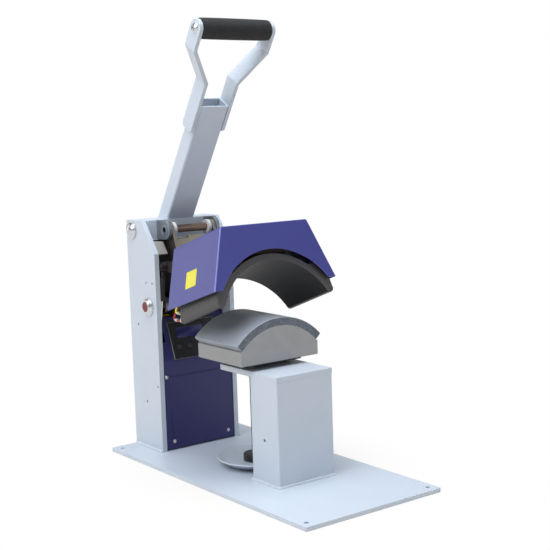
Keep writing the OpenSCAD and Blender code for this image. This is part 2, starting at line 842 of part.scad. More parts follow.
// Folded cover of the head, arched at the front, open below and behind
module head_cover() {
    side_wall = sheet_t * sqrt(1 + flare * flare);
    color("#474A93") open_head(head_open - cover_droop) difference() {
        along(cover_front, cover_back) polygon([[-top_half, cover_top], [top_half, cover_top],
            [low_half, cover_low], [-low_half, cover_low]]);
        along(cover_front + sheet_t, cover_back + 1) {
            in_top = top_half + flare * sheet_t - side_wall;
            in_low = low_half + flare - side_wall;
            polygon([[-in_top, cover_top - sheet_t], [in_top, cover_top - sheet_t],
                [in_low, cover_low - 1], [-in_low, cover_low - 1]]);
        }
        translate([0, cover_front - 1, arch_z]) rotate([-90, 0, 0])
            cylinder(h = sheet_t + 2, r = cover_arch_r, $fn = 128);
        screw_holes(2.4);
    }
}

// Screws on top of the head cover
module head_cover_screws() {
    color("#9A9CA6") open_head(head_open - cover_droop) for (p = cover_screw_places) {
        translate([p[0], p[1], cover_top]) dome(4.4, 2.4);
        translate([p[0], p[1], cover_top - 7]) cylinder(h = 7, r = 2.2);
    }
}

// Bracket on the left head arm that the gas spring pushes on
module spring_bracket() {
    pin = spring_pin_d / 2;
    inner = spring_x + eye_w / 2 + side_play;
    foot = [spring_top_shut[0] - 44, foot_shut[1]];
    color("#77706A") open_head(head_open) {
        strap(inner, inner + 4, foot, 10, spring_top_shut, eye_r);
        block([inner + 4, foot[0] - 7, foot[1] - 8], [-arm_out, foot[0] + 7, foot[1] + 8]);
        bar(spring_x - eye_w / 2 - side_play - 1.2, inner, spring_top_shut, pin);
        bar(spring_x - eye_w / 2 - side_play - 1.2, spring_x - eye_w / 2 - side_play, spring_top_shut, pin + 2);
    }
}

// The hub: a closed rectangular tube that turns on the lever shaft
module lever_hub() {
    front_y = lever_c[0] - knee_reach + 22;
    low_z = lever_c[1] - hub_h / 2;
    half = gap_half - 1.4;
    color("#C3CDDA") difference() {
        block([-half, front_y, low_z], [half, front_y + hub_depth, low_z + hub_h]);
        block([-half + 6, front_y + lever_wall, low_z + lever_wall],
            [half - 6, front_y + hub_depth - lever_wall, low_z + hub_h - lever_wall]);
        bar(-half - 1, half + 1, lever_c, shaft_d / 2 + run);
    }
}

// Ears on the hub's front that hold the knee shaft
module knee_ears() {
    hub_front = lever_c[0] - knee_reach + 22;
    color("#9BA2AB") both_sides() difference() {
        across(ear_in, ear_out) {
            translate(knee_c) circle(ear_r);
            polygon([[knee_c[0], knee_c[1] - ear_r], [hub_front, lever_c[1] - ear_r],
                [hub_front, lever_c[1] + ear_r], [knee_c[0], knee_c[1] + ear_r]]);
        }
        bar(ear_in - 1, ear_out + 1, knee_c, knee_d / 2 + run);
        bar(ear_out - 4, ear_out + 1, knee_c, 8.7);
    }
}

// The lever's own frame: X across, Y behind the lever, Z up along it
module on_lever() {
    translate([0, lever_c[0] - 16.3, plate_top + 2.5]) rotate([lever_lean, 0, 0]) children();
}

// Lever tube, open at the top and mitred onto the hub
module lever_tube() {
    half_d = lever_depth / 2;
    color("#B9C2CC") difference() {
        on_lever() difference() {
            block([-lever_w / 2, -half_d, -25], [lever_w / 2, half_d, lever_tube_l]);
            block([-lever_w / 2 + lever_wall, -half_d + lever_wall, -26],
                [lever_w / 2 - lever_wall, half_d - lever_wall, lever_tube_l + 1]);
        }
        block([-lever_w, lever_c[0] - 80, lever_c[1] - 60], [lever_w, lever_c[0] + 80, lever_c[1] + hub_h / 2]);
    }
}

// Fork arm: laps the tube's side, spreads out and rises to the grip
module fork_arm() {
    lap = lever_tube_l - arm_lap;
    bend_a = lever_tube_l + arm_straight;
    bend_b = bend_a + arm_slant;
    grip_s = bend_b + arm_top;
    x_in = lever_w / 2;
    x_grip = grip_l / 2;
    half_d = lever_depth / 2;
    mitre = arm_t * tan(atan2(x_grip - x_in, arm_slant) / 2);
    color("#B9C2CC") on_lever() difference() {
        intersection() {
            along(-half_d, half_d) polygon([[x_in, lap], [x_in, bend_a], [x_grip, bend_b], [x_grip, grip_s + 20],
                [x_grip + arm_t, grip_s + 20], [x_grip + arm_t, bend_b - mitre], [x_in + arm_t, bend_a - mitre],
                [x_in + arm_t, lap]]);
            across(0, x_grip + arm_t) {
                translate([0, grip_s]) circle(half_d);
                translate([-half_d, lap + 6]) square([2 * half_d, grip_s - lap - 6]);
                translate([-half_d + 6, lap]) square([2 * half_d - 12, 7]);
                for (s = [-1, 1]) {
                    translate([s * (half_d - 6), lap + 6]) circle(6);
                }
            }
        }
        bar(x_grip - 1, x_grip + arm_t + 1, [0, grip_s], 4 + run);
    }
}

grip_place = [0, lever_tube_l + arm_straight + arm_slant + arm_top];

// Steel rod between the fork arms
module grip_rod() {
    color("#8A8D92") on_lever() difference() {
        bar(-grip_l / 2, grip_l / 2, grip_place, grip_rod_d / 2);
        for (s = [-1, 1]) {
            bar(s > 0 ? grip_l / 2 - 14 : -grip_l / 2 - 1, s > 0 ? grip_l / 2 + 1 : -grip_l / 2 + 14, grip_place, 4 + run);
        }
    }
}

// Foam sleeve with softened ends
module foam_grip() {
    half = grip_l / 2 - seat_gap;
    soft = 4;
    color("#2B2B2B") on_lever() translate([0, grip_place[0], grip_place[1]]) rotate([0, 90, 0]) rotate_extrude() {
        difference() {
            union() {
                translate([0, -half + soft]) square([grip_d / 2, 2 * half - 2 * soft]);
                translate([0, -half]) square([grip_d / 2 - soft, 2 * half]);
                for (s = [-1, 1]) {
                    translate([grip_d / 2 - soft, s * (half - soft)]) circle(soft);
                }
            }
            translate([-1, -half - 1]) square([grip_rod_d / 2 + run + 1, 2 * half + 2]);
        }
    }
}

// Round-head screws that hold the grip's rod
module grip_screws() {
    color("#B9BBBE") on_lever() both_sides() {
        translate([grip_l / 2 + arm_t, grip_place[0], grip_place[1]]) rotate([0, 90, 0]) dome(8, 4.5);
        bar(grip_l / 2 - 12, grip_l / 2 + arm_t, grip_place, 4);
    }
}

// Knee shaft with its two flush socket screws and two white spacer rings
module knee_parts() {
    color("#6E5F57") {
        bar(-ear_out + 4.1, ear_out - 4.1, knee_c, knee_d / 2);
        both_sides() difference() {
            bar(ear_out - 4, ear_out, knee_c, 8.5);
            on_side(ear_out - 3, knee_c) cylinder(h = 4, r = 4.6, $fn = 6);
        }
    }
    color("#EDEDEA") both_sides() difference() {
        bar(link_in - 0.3 - ear_t, link_in - 0.3, knee_c, 11);
        bar(link_in - 1 - ear_t, link_in + 1, knee_c, knee_d / 2 + run);
    }
}

// Pair of toggle links joined by a cross plate below the knee
module toggle_links() {
    side = [-link_dir[1], link_dir[0]];
    rise = knee_c + 12.5 * link_dir;
    notch = knee_c + 17 * link_dir;
    deep = knee_c + 40 * link_dir;
    half_t = 3;
    color("#5E554E") {
        both_sides() difference() {
            strap(link_in, link_out, knee_c, link_end_r, foot_c, link_end_r);
            bar(link_in - 1, link_out + 1, knee_c, knee_d / 2 + run);
            bar(link_in - 1, link_out + 1, foot_c, link_pin_d / 2 + run);
        }
        across(-link_in, link_in) polygon([notch + half_t * side, deep + half_t * side,
            deep - half_t * side, notch - half_t * side]);
        across(-8, link_in) polygon([rise + half_t * side, notch + half_t * side,
            notch - half_t * side, rise - half_t * side]);
    }
}

// Pin at the foot of the links, through the slots of the head arms
module link_pin() {
    color("#8A8D92") {
        bar(-link_out, link_out, foot_c, link_pin_d / 2);
        both_sides() bar(link_out, link_out + 2.5, foot_c, link_pin_d / 2 + 2);
    }
}

// The gas spring's own frame: Z runs from the lower eye to the upper one
module on_spring() {
    translate([spring_x, spring_low[0], spring_low[1]]) rotate([spring_lean, 0, 0]) children();
}

// A ring across the spring's axis
module eye(z, hole_r) {
    translate([-eye_w / 2, 0, z]) rotate([0, 90, 0]) difference() {
        cylinder(h = eye_w, r = eye_r);
        translate([0, 0, -1]) cylinder(h = eye_w + 2, r = hole_r);
    }
}

rod_start = eye_r - 1.5;
rod_end = spring_len - 24;
cylinder_start = spring_len - 54;
cylinder_end = spring_len - eye_r + 1.5;

// Chromed rod of the gas spring, with the lower eye
module gas_spring_rod() {
    color("#D5D7DA") on_spring() {
        eye(0, spring_pin_d / 2 + run);
        translate([0, 0, rod_start]) cylinder(h = rod_end - rod_start, r = spring_rod_d / 2);
    }
}

// Black cylinder of the gas spring, with the upper eye
module gas_spring_cylinder() {
    color("#17171A") on_spring() {
        eye(spring_len, spring_pin_d / 2 + 1);
        difference() {
            union() {
                translate([0, 0, cylinder_start]) cylinder(h = cylinder_end - 10 - cylinder_start, r = spring_d / 2);
                translate([0, 0, cylinder_end - 12]) cylinder(h = 12, r = 4);
            }
            translate([0, 0, cylinder_start - 1]) cylinder(h = rod_end + 9 - cylinder_start, r = spring_rod_d / 2 + run);
        }
    }
}

base_plate();
side_plate(-plate_outer);  // left_side_plate
side_plate(gap_half);  // right_side_plate
guide_blocks();
front_cover();
cover_screws();
controller_housing();
controller_bezel();
controller_screen();
push_button(button_places[0]);  // mode_button
push_button(button_places[1]);  // down_button
push_button(button_places[2]);  // up_button
push_button(button_places[3]);  // start_button
rear_cover();
power_inlet();
power_switch();
lever_shaft();
lever_shaft_caps();
hub_washers();
head_shaft();
head_shaft_nuts();
shaft_collars();
earth_wire();
spring_stud();
pedestal_tube();
support_plate();
lift_nut();
platen_spacer();
guide_pins();
lower_platen();
silicone_pad();
lift_screw();
handwheel();
handwheel_knob();
head_arm(-arm_out);  // left_head_arm
head_arm(arm_in);  // right_head_arm
head_pivot_tube();
carrier_plate();
insulating_board();
platen_bolts();
upper_platen();
heater_terminals();
heater_wires();
cover_stays();
head_cover();
head_cover_screws();
spring_bracket();
lever_hub();
knee_ears();
lever_tube();
mirror([1, 0, 0]) fork_arm();  // left_fork_arm
fork_arm();  // right_fork_arm
grip_rod();
foam_grip();
grip_screws();
knee_parts();
toggle_links();
link_pin();
gas_spring_rod();
gas_spring_cylinder();
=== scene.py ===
# %% [markdown]
# # A heat press for caps, dressed for a studio picture
# The metal skeleton of this press comes from an engineering model that is already packed: every
# plate, pin and lever stands in its right place. This lesson loads that frame and gives each piece
# the edges, welds, sheet folds and finishes of the real machine. The frame fixes all sizes, so
# nothing here is scaled to taste. Each step says what the piece is and why it is made that way.

# %% Load the frame
import json
import math
import random

import bmesh
import bpy
from mathutils import Matrix, Vector


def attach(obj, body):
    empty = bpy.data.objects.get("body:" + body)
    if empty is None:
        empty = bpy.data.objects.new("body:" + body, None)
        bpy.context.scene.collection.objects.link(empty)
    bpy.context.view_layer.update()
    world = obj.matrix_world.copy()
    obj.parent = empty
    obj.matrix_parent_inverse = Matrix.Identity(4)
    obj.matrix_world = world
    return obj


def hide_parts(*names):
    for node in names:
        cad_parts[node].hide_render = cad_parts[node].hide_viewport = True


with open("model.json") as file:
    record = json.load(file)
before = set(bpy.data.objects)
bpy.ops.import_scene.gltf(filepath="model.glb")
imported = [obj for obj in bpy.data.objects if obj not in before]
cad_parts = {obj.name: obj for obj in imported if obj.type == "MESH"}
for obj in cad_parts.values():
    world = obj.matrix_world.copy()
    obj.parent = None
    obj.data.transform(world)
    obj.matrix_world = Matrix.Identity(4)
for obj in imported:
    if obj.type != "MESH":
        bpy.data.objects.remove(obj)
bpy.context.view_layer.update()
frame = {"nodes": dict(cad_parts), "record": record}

MM = 0.001
behaviour = frame["record"]["behaviour"]
body_of = {node: body for body, nodes in behaviour["bodies"].items() for node in nodes}
slot_of = {part["node"]: part["material_slot"] for part in frame["record"]["subparts"]}

# %% [markdown]
# ## The camera first
# The photograph was taken with a long lens from the left of the machine, a little above it. A
# camera can be aimed with a constraint, but the picture here leans by almost two degrees, so the
# three axes of the camera are written out from its heading, pitch and roll.

# %% Camera
LENS_MM, SENSOR_MM = 74.86, 36
CAMERA_PLACE = (-0.9772, -1.3538, 0.5048)
HEADING, PITCH, ROLL = math.radians(36.70), math.radians(7.17), math.radians(-1.85)
ahead = Vector((math.sin(HEADING), math.cos(HEADING), 0))
across = Vector((math.cos(HEADING), -math.sin(HEADING), 0))
up = Vector((0, 0, 1))
view_dir = math.cos(PITCH) * ahead - math.sin(PITCH) * up
view_up = math.sin(PITCH) * ahead + math.cos(PITCH) * up
right_axis = math.cos(ROLL) * across + math.sin(ROLL) * view_up
up_axis = math.cos(ROLL) * view_up - math.sin(ROLL) * across
camera_data = bpy.data.cameras.new("studio_camera")
camera_data.sensor_width = SENSOR_MM
camera_data.lens = LENS_MM
camera_data.clip_start, camera_data.clip_end = 0.05, 50
camera = bpy.data.objects.new("studio_camera", camera_data)
turn = Matrix((right_axis, up_axis, -view_dir)).transposed().to_4x4()
camera.matrix_world = Matrix.Translation(CAMERA_PLACE) @ turn
bpy.context.scene.collection.objects.link(camera)
bpy.context.scene.camera = camera
print("camera at", CAMERA_PLACE, "with a lens of", LENS_MM, "mm")

# %% [markdown]
# ## Helpers for shaping
# Operators work on whatever is selected, and the frame arrives all selected. So each step first
# clears the selection and then picks its own piece. A piece keeps its origin at the world origin,
# with its place in its mesh, because the joints and the export expect that. A bevel's edges are
# found by their angle, and the shading is then weighted by face area, so that flat faces stay flat.

# %% Selection and transforms
SHADE_ANGLE = math.radians(50)


def pick(*pieces):
    """Selects only these pieces; the last one is active."""
    if bpy.context.mode != "OBJECT":
        bpy.ops.object.mode_set(mode="OBJECT")
    bpy.ops.object.select_all(action="DESELECT")
    for piece in pieces:
        piece.select_set(True)
        bpy.context.view_layer.objects.active = piece


def edit(piece):
    """Opens a piece in edit mode with all of it selected."""
    pick(piece)
    bpy.ops.object.mode_set(mode="EDIT")
    bpy.ops.mesh.select_all(action="SELECT")


def settle(piece, matrix=None):
    """Puts a piece's place into its mesh, after moving it by a matrix if one is given."""
    if matrix is not None:
        piece.matrix_world = matrix @ piece.matrix_world
    pick(piece)
    bpy.ops.object.transform_apply(location=True, rotation=True, scale=True)
    return piece


def modify(piece, kind, **settings):
    """Adds one modifier, sets it and applies it at once."""
    pick(piece)
    modifier = piece.modifiers.new(kind.lower(), kind)
    for key, value in settings.items():
        setattr(modifier, key, value)
    bpy.ops.object.modifier_apply(modifier=modifier.name)
    return piece


def soften(piece, radius_mm, segments=2, angle=35):
    """Rolls the sharp edges, then shades by angle while keeping flat faces flat."""
    if radius_mm:
        modify(piece, "BEVEL", width=radius_mm * MM, segments=segments, limit_method="ANGLE",
               angle_limit=math.radians(angle), miter_outer="MITER_ARC", use_clamp_overlap=True)
    pick(piece)
    bpy.ops.object.shade_smooth_by_angle(angle=SHADE_ANGLE)
    return modify(piece, "WEIGHTED_NORMAL", mode="FACE_AREA", weight=80, keep_sharp=True)


def join(name, *pieces):
    """Joins pieces into the last one and names the result."""
    pick(*pieces)
    bpy.ops.object.join()
    piece = bpy.context.view_layer.objects.active
    piece.name = piece.data.name = name
    return piece

# %% [markdown]
# ## Helpers for starting a piece
# Most pieces begin as a cube or a cylinder at the true size. A piece that the frame already holds
# in the right shape is copied instead: the copy's loose triangles are merged and its flat faces
# dissolved into whole ones, so that a bevel can run along its real edges. A dissolved face would
# close a window in it, so sheets with windows are turned into four-sided faces instead.

# %% Primitives and copies
MERGE_DISTANCE = 0.02 * MM
FLAT_WITHIN = math.radians(0.6)


def new_box(name, low, high):
    """A box between two corners, given in millimetres."""
    low, high = Vector(low) * MM, Vector(high) * MM
    pick()
    bpy.ops.mesh.primitive_cube_add(size=1, location=(low + high) / 2)
    piece = bpy.context.active_object
    piece.name = piece.data.name = name
    piece.scale = high - low
    return settle(piece)


def new_round(name, centre, radius, length, axis="Z", sides=64):
    """A cylinder about a centre, in millimetres, along one axis."""
    turns = {"X": (0, math.pi / 2, 0), "Y": (-math.pi / 2, 0, 0), "Z": (0, 0, 0)}
    pick()
    bpy.ops.mesh.primitive_cylinder_add(vertices=sides, radius=radius * MM, depth=length * MM,
                                        location=Vector(centre) * MM, rotation=turns[axis])
    piece = bpy.context.active_object
    piece.name = piece.data.name = name
    return settle(piece)


def copy_of(node, name, windowed=False):
    """A merged copy of a frame node; a face with a window in it stays in four-sided pieces."""
    piece = bpy.data.objects.new(name, frame["nodes"][node].data.copy())
    piece.data.materials.clear()
    bpy.context.scene.collection.objects.link(piece)
    edit(piece)
    bpy.ops.mesh.remove_doubles(threshold=MERGE_DISTANCE)
    if windowed:
        bpy.ops.mesh.tris_convert_to_quads(face_threshold=FLAT_WITHIN,
                                           shape_threshold=math.radians(60))
    else:
        bpy.ops.mesh.dissolve_limited(angle_limit=FLAT_WITHIN)
    bpy.ops.object.mode_set(mode="OBJECT")
    if "custom_normal" in piece.data.attributes:
        piece.data.attributes.remove(piece.data.attributes["custom_normal"])
    return piece


# %% [markdown]
# ## Helpers for choosing and dressing
# Faces and edges are chosen by where they lie and which way they run, never by their number, so
# the choice still holds when a shape changes. A finished piece gets its material, rides on a body
# of the frame, and hides the plain node that it stands for.

# %% Cuts, choices and dress
def cut(piece, tool):
    """Takes the tool's shape out of the piece and removes the tool."""
    modify(piece, "BOOLEAN", operation="DIFFERENCE", solver="EXACT", object=tool)
    bpy.data.objects.remove(tool)
    return piece


def select_where(piece, kind, test):
    """In edit mode, selects the faces, edges or vertices whose corners all pass a test in mm."""
    bpy.ops.mesh.select_mode(type={"faces": "FACE", "edges": "EDGE", "verts": "VERT"}[kind])
    mesh = bmesh.from_edit_mesh(piece.data)
    for group in (mesh.verts, mesh.edges, mesh.faces):
        for element in group:
            element.select = False
    for element in getattr(mesh, kind):
        points = [element.co] if kind == "verts" else [v.co for v in element.verts]
        if all(test(point / MM) for point in points):
            element.select = True
    mesh.select_flush_mode()
    bmesh.update_edit_mesh(piece.data)


def choose_edges(piece, test):
    """In edit mode, selects the edges for which a test of edge and direction holds."""
    mesh = bmesh.from_edit_mesh(piece.data)
    for edge in mesh.edges:
        edge.select = test(edge, (edge.verts[1].co - edge.verts[0].co).normalized())
    bmesh.update_edit_mesh(piece.data)


def dress(piece, material, *nodes, body=None, slot=None):
    """Gives a piece its material and body, and hides the nodes it stands for; slot is not used."""
    if material is not None:
        piece.data.materials.clear()
        piece.data.materials.append(material)
    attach(piece, body or body_of[nodes[0]])
    if nodes:
        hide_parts(*nodes)
    print(piece.name, "has", len(piece.data.polygons), "faces")
    return piece


def second_finish(piece, material, test):
    """Gives a further material to the faces whose middle (in mm) and direction pass a test."""
    piece.data.materials.append(material)
    for face in piece.data.polygons:
        if test(face.center / MM, face.normal):
            face.material_index = len(piece.data.materials) - 1

# %% [markdown]
# ## Helpers for finishes
# Colours are written as sRGB hex, the way a paint chart gives them, and one function turns them
# into the linear values that a renderer mixes. Pattern sizes are real ones: a noise texture repeats
# about once per unit, so a grain of g millimetres needs a scale of 1000 / g on metre coordinates.

# %% Colour, scale and one node helper
def linear(code):
    """sRGB hex to a linear colour with full opacity."""
    parts = [int(code[i:i + 2], 16) / 255 for i in (1, 3, 5)]
    mixed = [c / 12.92 if c <= 0.04045 else ((c + 0.055) / 1.055) ** 2.4 for c in parts]
    return (*mixed, 1.0)


def per_mm(size):
    """Texture scale for a feature of this many millimetres."""
    return 1000.0 / size


def add_node(tree, kind, inputs=None, **settings):
    """Adds a node, sets its properties, and sets or links its inputs."""
    node = tree.nodes.new(kind)
    for key, value in settings.items():
        setattr(node, key, value)
    for key, value in (inputs or {}).items():
        if isinstance(value, bpy.types.NodeSocket):
            tree.links.new(value, node.inputs[key])
        else:
            node.inputs[key].default_value = value
    return node


def new_material(name, **constants):
    """A material with a Principled shader whose constant values sit on its own sockets."""
    material = bpy.data.materials.new(name)
    material.use_nodes = True
    tree = material.node_tree
    shader = next(n for n in tree.nodes if n.type == "BSDF_PRINCIPLED")
    for key, value in constants.items():
        shader.inputs[key.replace("_", " ")].default_value = value
    place = add_node(tree, "ShaderNodeTexCoord").outputs["Object"]
    return material, tree, shader, place

# %% [markdown]
# ## Powder coat and enamel
# The stand is steel with a pale silver-blue powder coat, baked on as dry powder, and the head's
# cover is sheet steel under a satin blue-violet enamel. Both leave the same clue to the eye: a fine
# orange peel, about a millimetre across, that breaks up the highlights, and a tone that drifts
# slightly over a hand's width. A thin clear coat on the shader gives the second, sharper gloss.

# %% Coated steel
PEEL_MM, PEEL_DEPTH = 1.1, 0.03


def coated_steel(name, colour, drift, rough, coat):
    """Baked paint on steel: drifting tone, orange peel and a few dusty grains."""
    material, tree, shader, place = new_material(name, Coat_Weight=coat, Coat_Roughness=0.22)
    cloud = add_node(tree, "ShaderNodeTexNoise", {"Vector": place, "Scale": per_mm(60),
                                                  "Detail": 3.0})
    tone = add_node(tree, "ShaderNodeMix", {"Factor": cloud.outputs["Fac"], "A": linear(colour),
                                            "B": linear(drift)}, data_type="RGBA")
    tree.links.new(tone.outputs["Result"], shader.inputs["Base Color"])
    dust = add_node(tree, "ShaderNodeTexNoise", {"Vector": place, "Scale": per_mm(9),
                                                 "Detail": 6.0})
    gloss = add_node(tree, "ShaderNodeMapRange", {"Value": dust.outputs["Fac"],
                                                  "To Min": rough - 0.06, "To Max": rough + 0.08})
    tree.links.new(gloss.outputs["Result"], shader.inputs["Roughness"])
    peel = add_node(tree, "ShaderNodeTexNoise", {"Vector": place, "Scale": per_mm(PEEL_MM),
                                                 "Detail": 2.0})
    bump = add_node(tree, "ShaderNodeBump", {"Height": peel.outputs["Fac"], "Strength": 0.5,
                                             "Distance": PEEL_DEPTH * MM})
    tree.links.new(bump.outputs["Normal"], shader.inputs["Normal"])
    return material


silver_coat = coated_steel("silver_powder_coat", "#C9D1DA", "#C1CAD4", 0.42, 0.2)
violet_enamel = coated_steel("violet_enamel", "#343785", "#31337D", 0.38, 0.3)
# A lighter violet that paints the highlight along the cover's folds.
violet_painted_fold_highlight = coated_steel("violet_enamel_painted_fold_highlight", "#7B7CBE", "#6A6BB0", 0.34, 0.3)
navy_enamel = coated_steel("navy_enamel", "#262662", "#22225A", 0.50, 0.1)

# %% [markdown]
# ## Bare, plated and blackened steel
# Machined steel keeps fine turning or rolling marks, zinc plate is brighter and smoother, and the
# hot toggle links wear a brown-grey oxide. A metal shows itself by its reflections, so most of
# these are metallic, and they differ in colour, roughness and the direction of their marks.

# %% Metals
def bare_metal(name, colour, drift, rough, mark_mm, stretch=(1, 1, 1), metallic=1.0, depth=0.02):
    """Metal with tool marks: noise stretched along the way the tool went."""
    material, tree, shader, place = new_material(name, Metallic=metallic)
    drawn = add_node(tree, "ShaderNodeMapping", {"Vector": place, "Scale": stretch})
    marks = add_node(tree, "ShaderNodeTexNoise", {"Vector": drawn.outputs["Vector"],
                                                  "Scale": per_mm(mark_mm), "Detail": 5.0,
                                                  "Roughness": 0.65})
    blotch = add_node(tree, "ShaderNodeTexNoise", {"Vector": place, "Scale": per_mm(18),
                                                   "Detail": 4.0})
    tone = add_node(tree, "ShaderNodeMix", {"Factor": blotch.outputs["Fac"], "A": linear(colour),
                                            "B": linear(drift)}, data_type="RGBA")
    tree.links.new(tone.outputs["Result"], shader.inputs["Base Color"])
    gloss = add_node(tree, "ShaderNodeMapRange", {"Value": marks.outputs["Fac"],
                                                  "To Min": rough - 0.08, "To Max": rough + 0.12})
    tree.links.new(gloss.outputs["Result"], shader.inputs["Roughness"])
    bump = add_node(tree, "ShaderNodeBump", {"Height": marks.outputs["Fac"], "Strength": 0.6,
                                             "Distance": depth * MM})
    tree.links.new(bump.outputs["Normal"], shader.inputs["Normal"])
    return material


turned_steel = bare_metal("turned_steel", "#8E8C8A", "#7C7773", 0.34, 1.2, (12, 1, 1))
bronzed_shaft = bare_metal("browned_steel_shaft", "#9A8274", "#7F6A5E", 0.32, 1.2, (12, 1, 1))
zinc_plate = bare_metal("zinc_plated_steel", "#D6D7D8", "#C4C7CC", 0.24, 2.0)
oxide_steel = bare_metal("oxide_brown_steel", "#57504A", "#463F3B", 0.44, 2.2, (1, 1, 4), 0.75)
khaki_steel = bare_metal("khaki_oxide_steel", "#B0A894", "#9A917E", 0.52, 2.5, (3, 1, 1), 0.45)
# A lighter oxide colour that paints the highlight on edges that face the light.
painted_highlight_steel = bare_metal("oxide_steel_painted_highlight", "#9C968A", "#878075", 0.46, 2.2, (1, 1, 4), 0.6)
cast_aluminium = bare_metal("sand_cast_aluminium", "#A3A4A5", "#989694", 0.52, 1.4,
                            (1, 1, 1), 0.55, 0.10)
cast_edge = bare_metal("grey_cast_aluminium", "#5C5A5A", "#504D4E", 0.45, 1.6,
                       (1, 1, 1), 0.6, 0.08)
chromed_rod = bare_metal("chromed_steel", "#DDDEE0", "#D2D4D8", 0.14, 1.0, (1, 1, 1), 1.0, 0.004)
# A darker blue-grey steel, used for the knee ears.
darker_blue_grey_steel = bare_metal("blue_grey_steel", "#939BA2", "#7F888F", 0.40, 1.6, (1, 1, 1), 0.7)
sawn_block = bare_metal("sawn_grey_block", "#A3A299", "#8F8E86", 0.55, 1.3, (1, 1, 6), 0.25)
# A dark brown that paints the shade of unlit insides and undersides.
painted_shade_brown = bare_metal("dark_brown_painted_shade", "#3A302F", "#2E2728", 0.6, 1.5, (1, 1, 1), 0.0)
rust_primer = bare_metal("red_primed_shaft_end", "#85403A", "#6E3430", 0.55, 1.5, (1, 1, 1), 0.3)
bearing_bronze = bare_metal("turned_bronze", "#B08D57", "#9C7A48", 0.36, 1.2, (1, 1, 12))

# %% [markdown]
# ## Non-stick coating, silicone and foam
# The inside of the hot platen has a charcoal non-stick coat, smooth and nearly black. The pad under
# it is silicone sponge: its skin is smooth and grey-blue, while its cut edge shows open cells. The
# grip is foam rubber, black and dull, with cells that are just large enough to catch the light.

# %% Soft and smooth dark finishes
def cellular(name, colour, hollow_shade, rough, cell_mm, depth):
    """Foam or sponge: cells in the surface, with painted shade in the hollows."""
    material, tree, shader, place = new_material(name, Roughness=rough)
    cells = add_node(tree, "ShaderNodeTexVoronoi", {"Vector": place, "Scale": per_mm(cell_mm)})
    fine = add_node(tree, "ShaderNodeTexNoise", {"Vector": place, "Scale": per_mm(cell_mm * 5),
                                                 "Detail": 4.0})
    mask = add_node(tree, "ShaderNodeMapRange", {"Value": cells.outputs["Distance"],
                                                 "From Min": 0.1, "From Max": 0.65,
                                                 "To Min": 0.0, "To Max": 1.0})
    both = add_node(tree, "ShaderNodeMath", {0: mask.outputs["Result"], 1: fine.outputs["Fac"]},
                    operation="MULTIPLY")
    # The hollows, where the bump is low, are painted darker as shade.
    tone = add_node(tree, "ShaderNodeMix", {"Factor": both.outputs["Value"], "A": linear(hollow_shade),
                                            "B": linear(colour)}, data_type="RGBA")
    tree.links.new(tone.outputs["Result"], shader.inputs["Base Color"])
    bump = add_node(tree, "ShaderNodeBump", {"Height": both.outputs["Value"], "Strength": 0.7,
                                             "Distance": depth * MM})
    tree.links.new(bump.outputs["Normal"], shader.inputs["Normal"])
    return material


foam_rubber = cellular("black_foam_rubber", "#353535", "#1B1B1B", 0.86, 0.9, 0.12)
silicone_skin = cellular("silicone_sponge_skin", "#A0A6AE", "#969CA4", 0.40, 1.6, 0.01)
silicone_cut = cellular("silicone_sponge_cut_edge", "#848B94", "#4F555D", 0.80, 2.2, 0.20)
non_stick = cellular("charcoal_non_stick_coating", "#232426", "#1C1D1F", 0.58, 0.8, 0.01)

# %% [markdown]
# ## Plastics, board, ceramic and wire
# Moulded plastic copies its mould, which is sparked to a fine even grain, so the grain alone tells
# it from paint. The display is a smooth dark window. The mineral board is a pressed sheet with
# fibres, and the insulation of the leads is a plain glossy rubber.

# %% Moulded plastics and small finishes
def moulded(name, colour, rough, grain_mm=0.7, depth=0.02, shade=0.88):
    """Moulded or pressed material: one tone, slightly uneven, with an even fine grain."""
    material, tree, shader, place = new_material(name, Roughness=rough)
    grain = add_node(tree, "ShaderNodeTexNoise", {"Vector": place, "Scale": per_mm(grain_mm),
                                                  "Detail": 2.0})
    full = linear(colour)
    dark = tuple(c * shade for c in full[:3]) + (1,)
    cloud = add_node(tree, "ShaderNodeTexNoise", {"Vector": place, "Scale": per_mm(14),
                                                  "Detail": 3.0})
    tone = add_node(tree, "ShaderNodeMix", {"Factor": cloud.outputs["Fac"], "A": full, "B": dark},
                    data_type="RGBA")
    tree.links.new(tone.outputs["Result"], shader.inputs["Base Color"])
    bump = add_node(tree, "ShaderNodeBump", {"Height": grain.outputs["Fac"], "Strength": 0.5,
                                             "Distance": depth * MM})
    tree.links.new(bump.outputs["Normal"], shader.inputs["Normal"])
    return material


# Black moulded plastic; on the knee screws' sockets it also paints the shade in the recess.
black_abs_and_socket_shade = moulded("black_moulded_abs_and_socket_shade", "#1C1C20", 0.42)
pale_abs = moulded("pale_moulded_abs", "#B5B0A2", 0.5)
key_plastic = moulded("dark_grey_key_plastic", "#39393C", 0.3)
red_plastic = moulded("red_rocker_plastic", "#A82424", 0.3)
display_glass = moulded("dark_blue_display_window", "#2A2E62", 0.16, 3.0, 0.0, 0.8)
white_nylon = moulded("white_nylon", "#E2E2DF", 0.45)
ceramic = moulded("unglazed_ceramic", "#D3CFC4", 0.55)
mineral_board = moulded("scorched_mineral_board", "#453A33", 0.85, 1.8, 0.15)
# The board under the lower platen is black, and its black also paints the shade beneath the platen.
black_board_with_painted_shade = moulded("black_fibre_board_and_painted_shade", "#202023", 0.7, 1.2, 0.08)
yellow_lead = moulded("yellow_wire_insulation", "#F2E21E", 0.4)
yellow_vinyl = moulded("yellow_vinyl", "#E2D636", 0.36, 1.6, 0.01, 0.94)
red_lead = moulded("red_silicone_insulation", "#B32020", 0.4)

# %% [markdown]
# ## Which finish goes where
# The record gives each node a slot, the name of its finish. One table turns slots into materials,
# and every node of the frame gets its own before any piece is replaced.

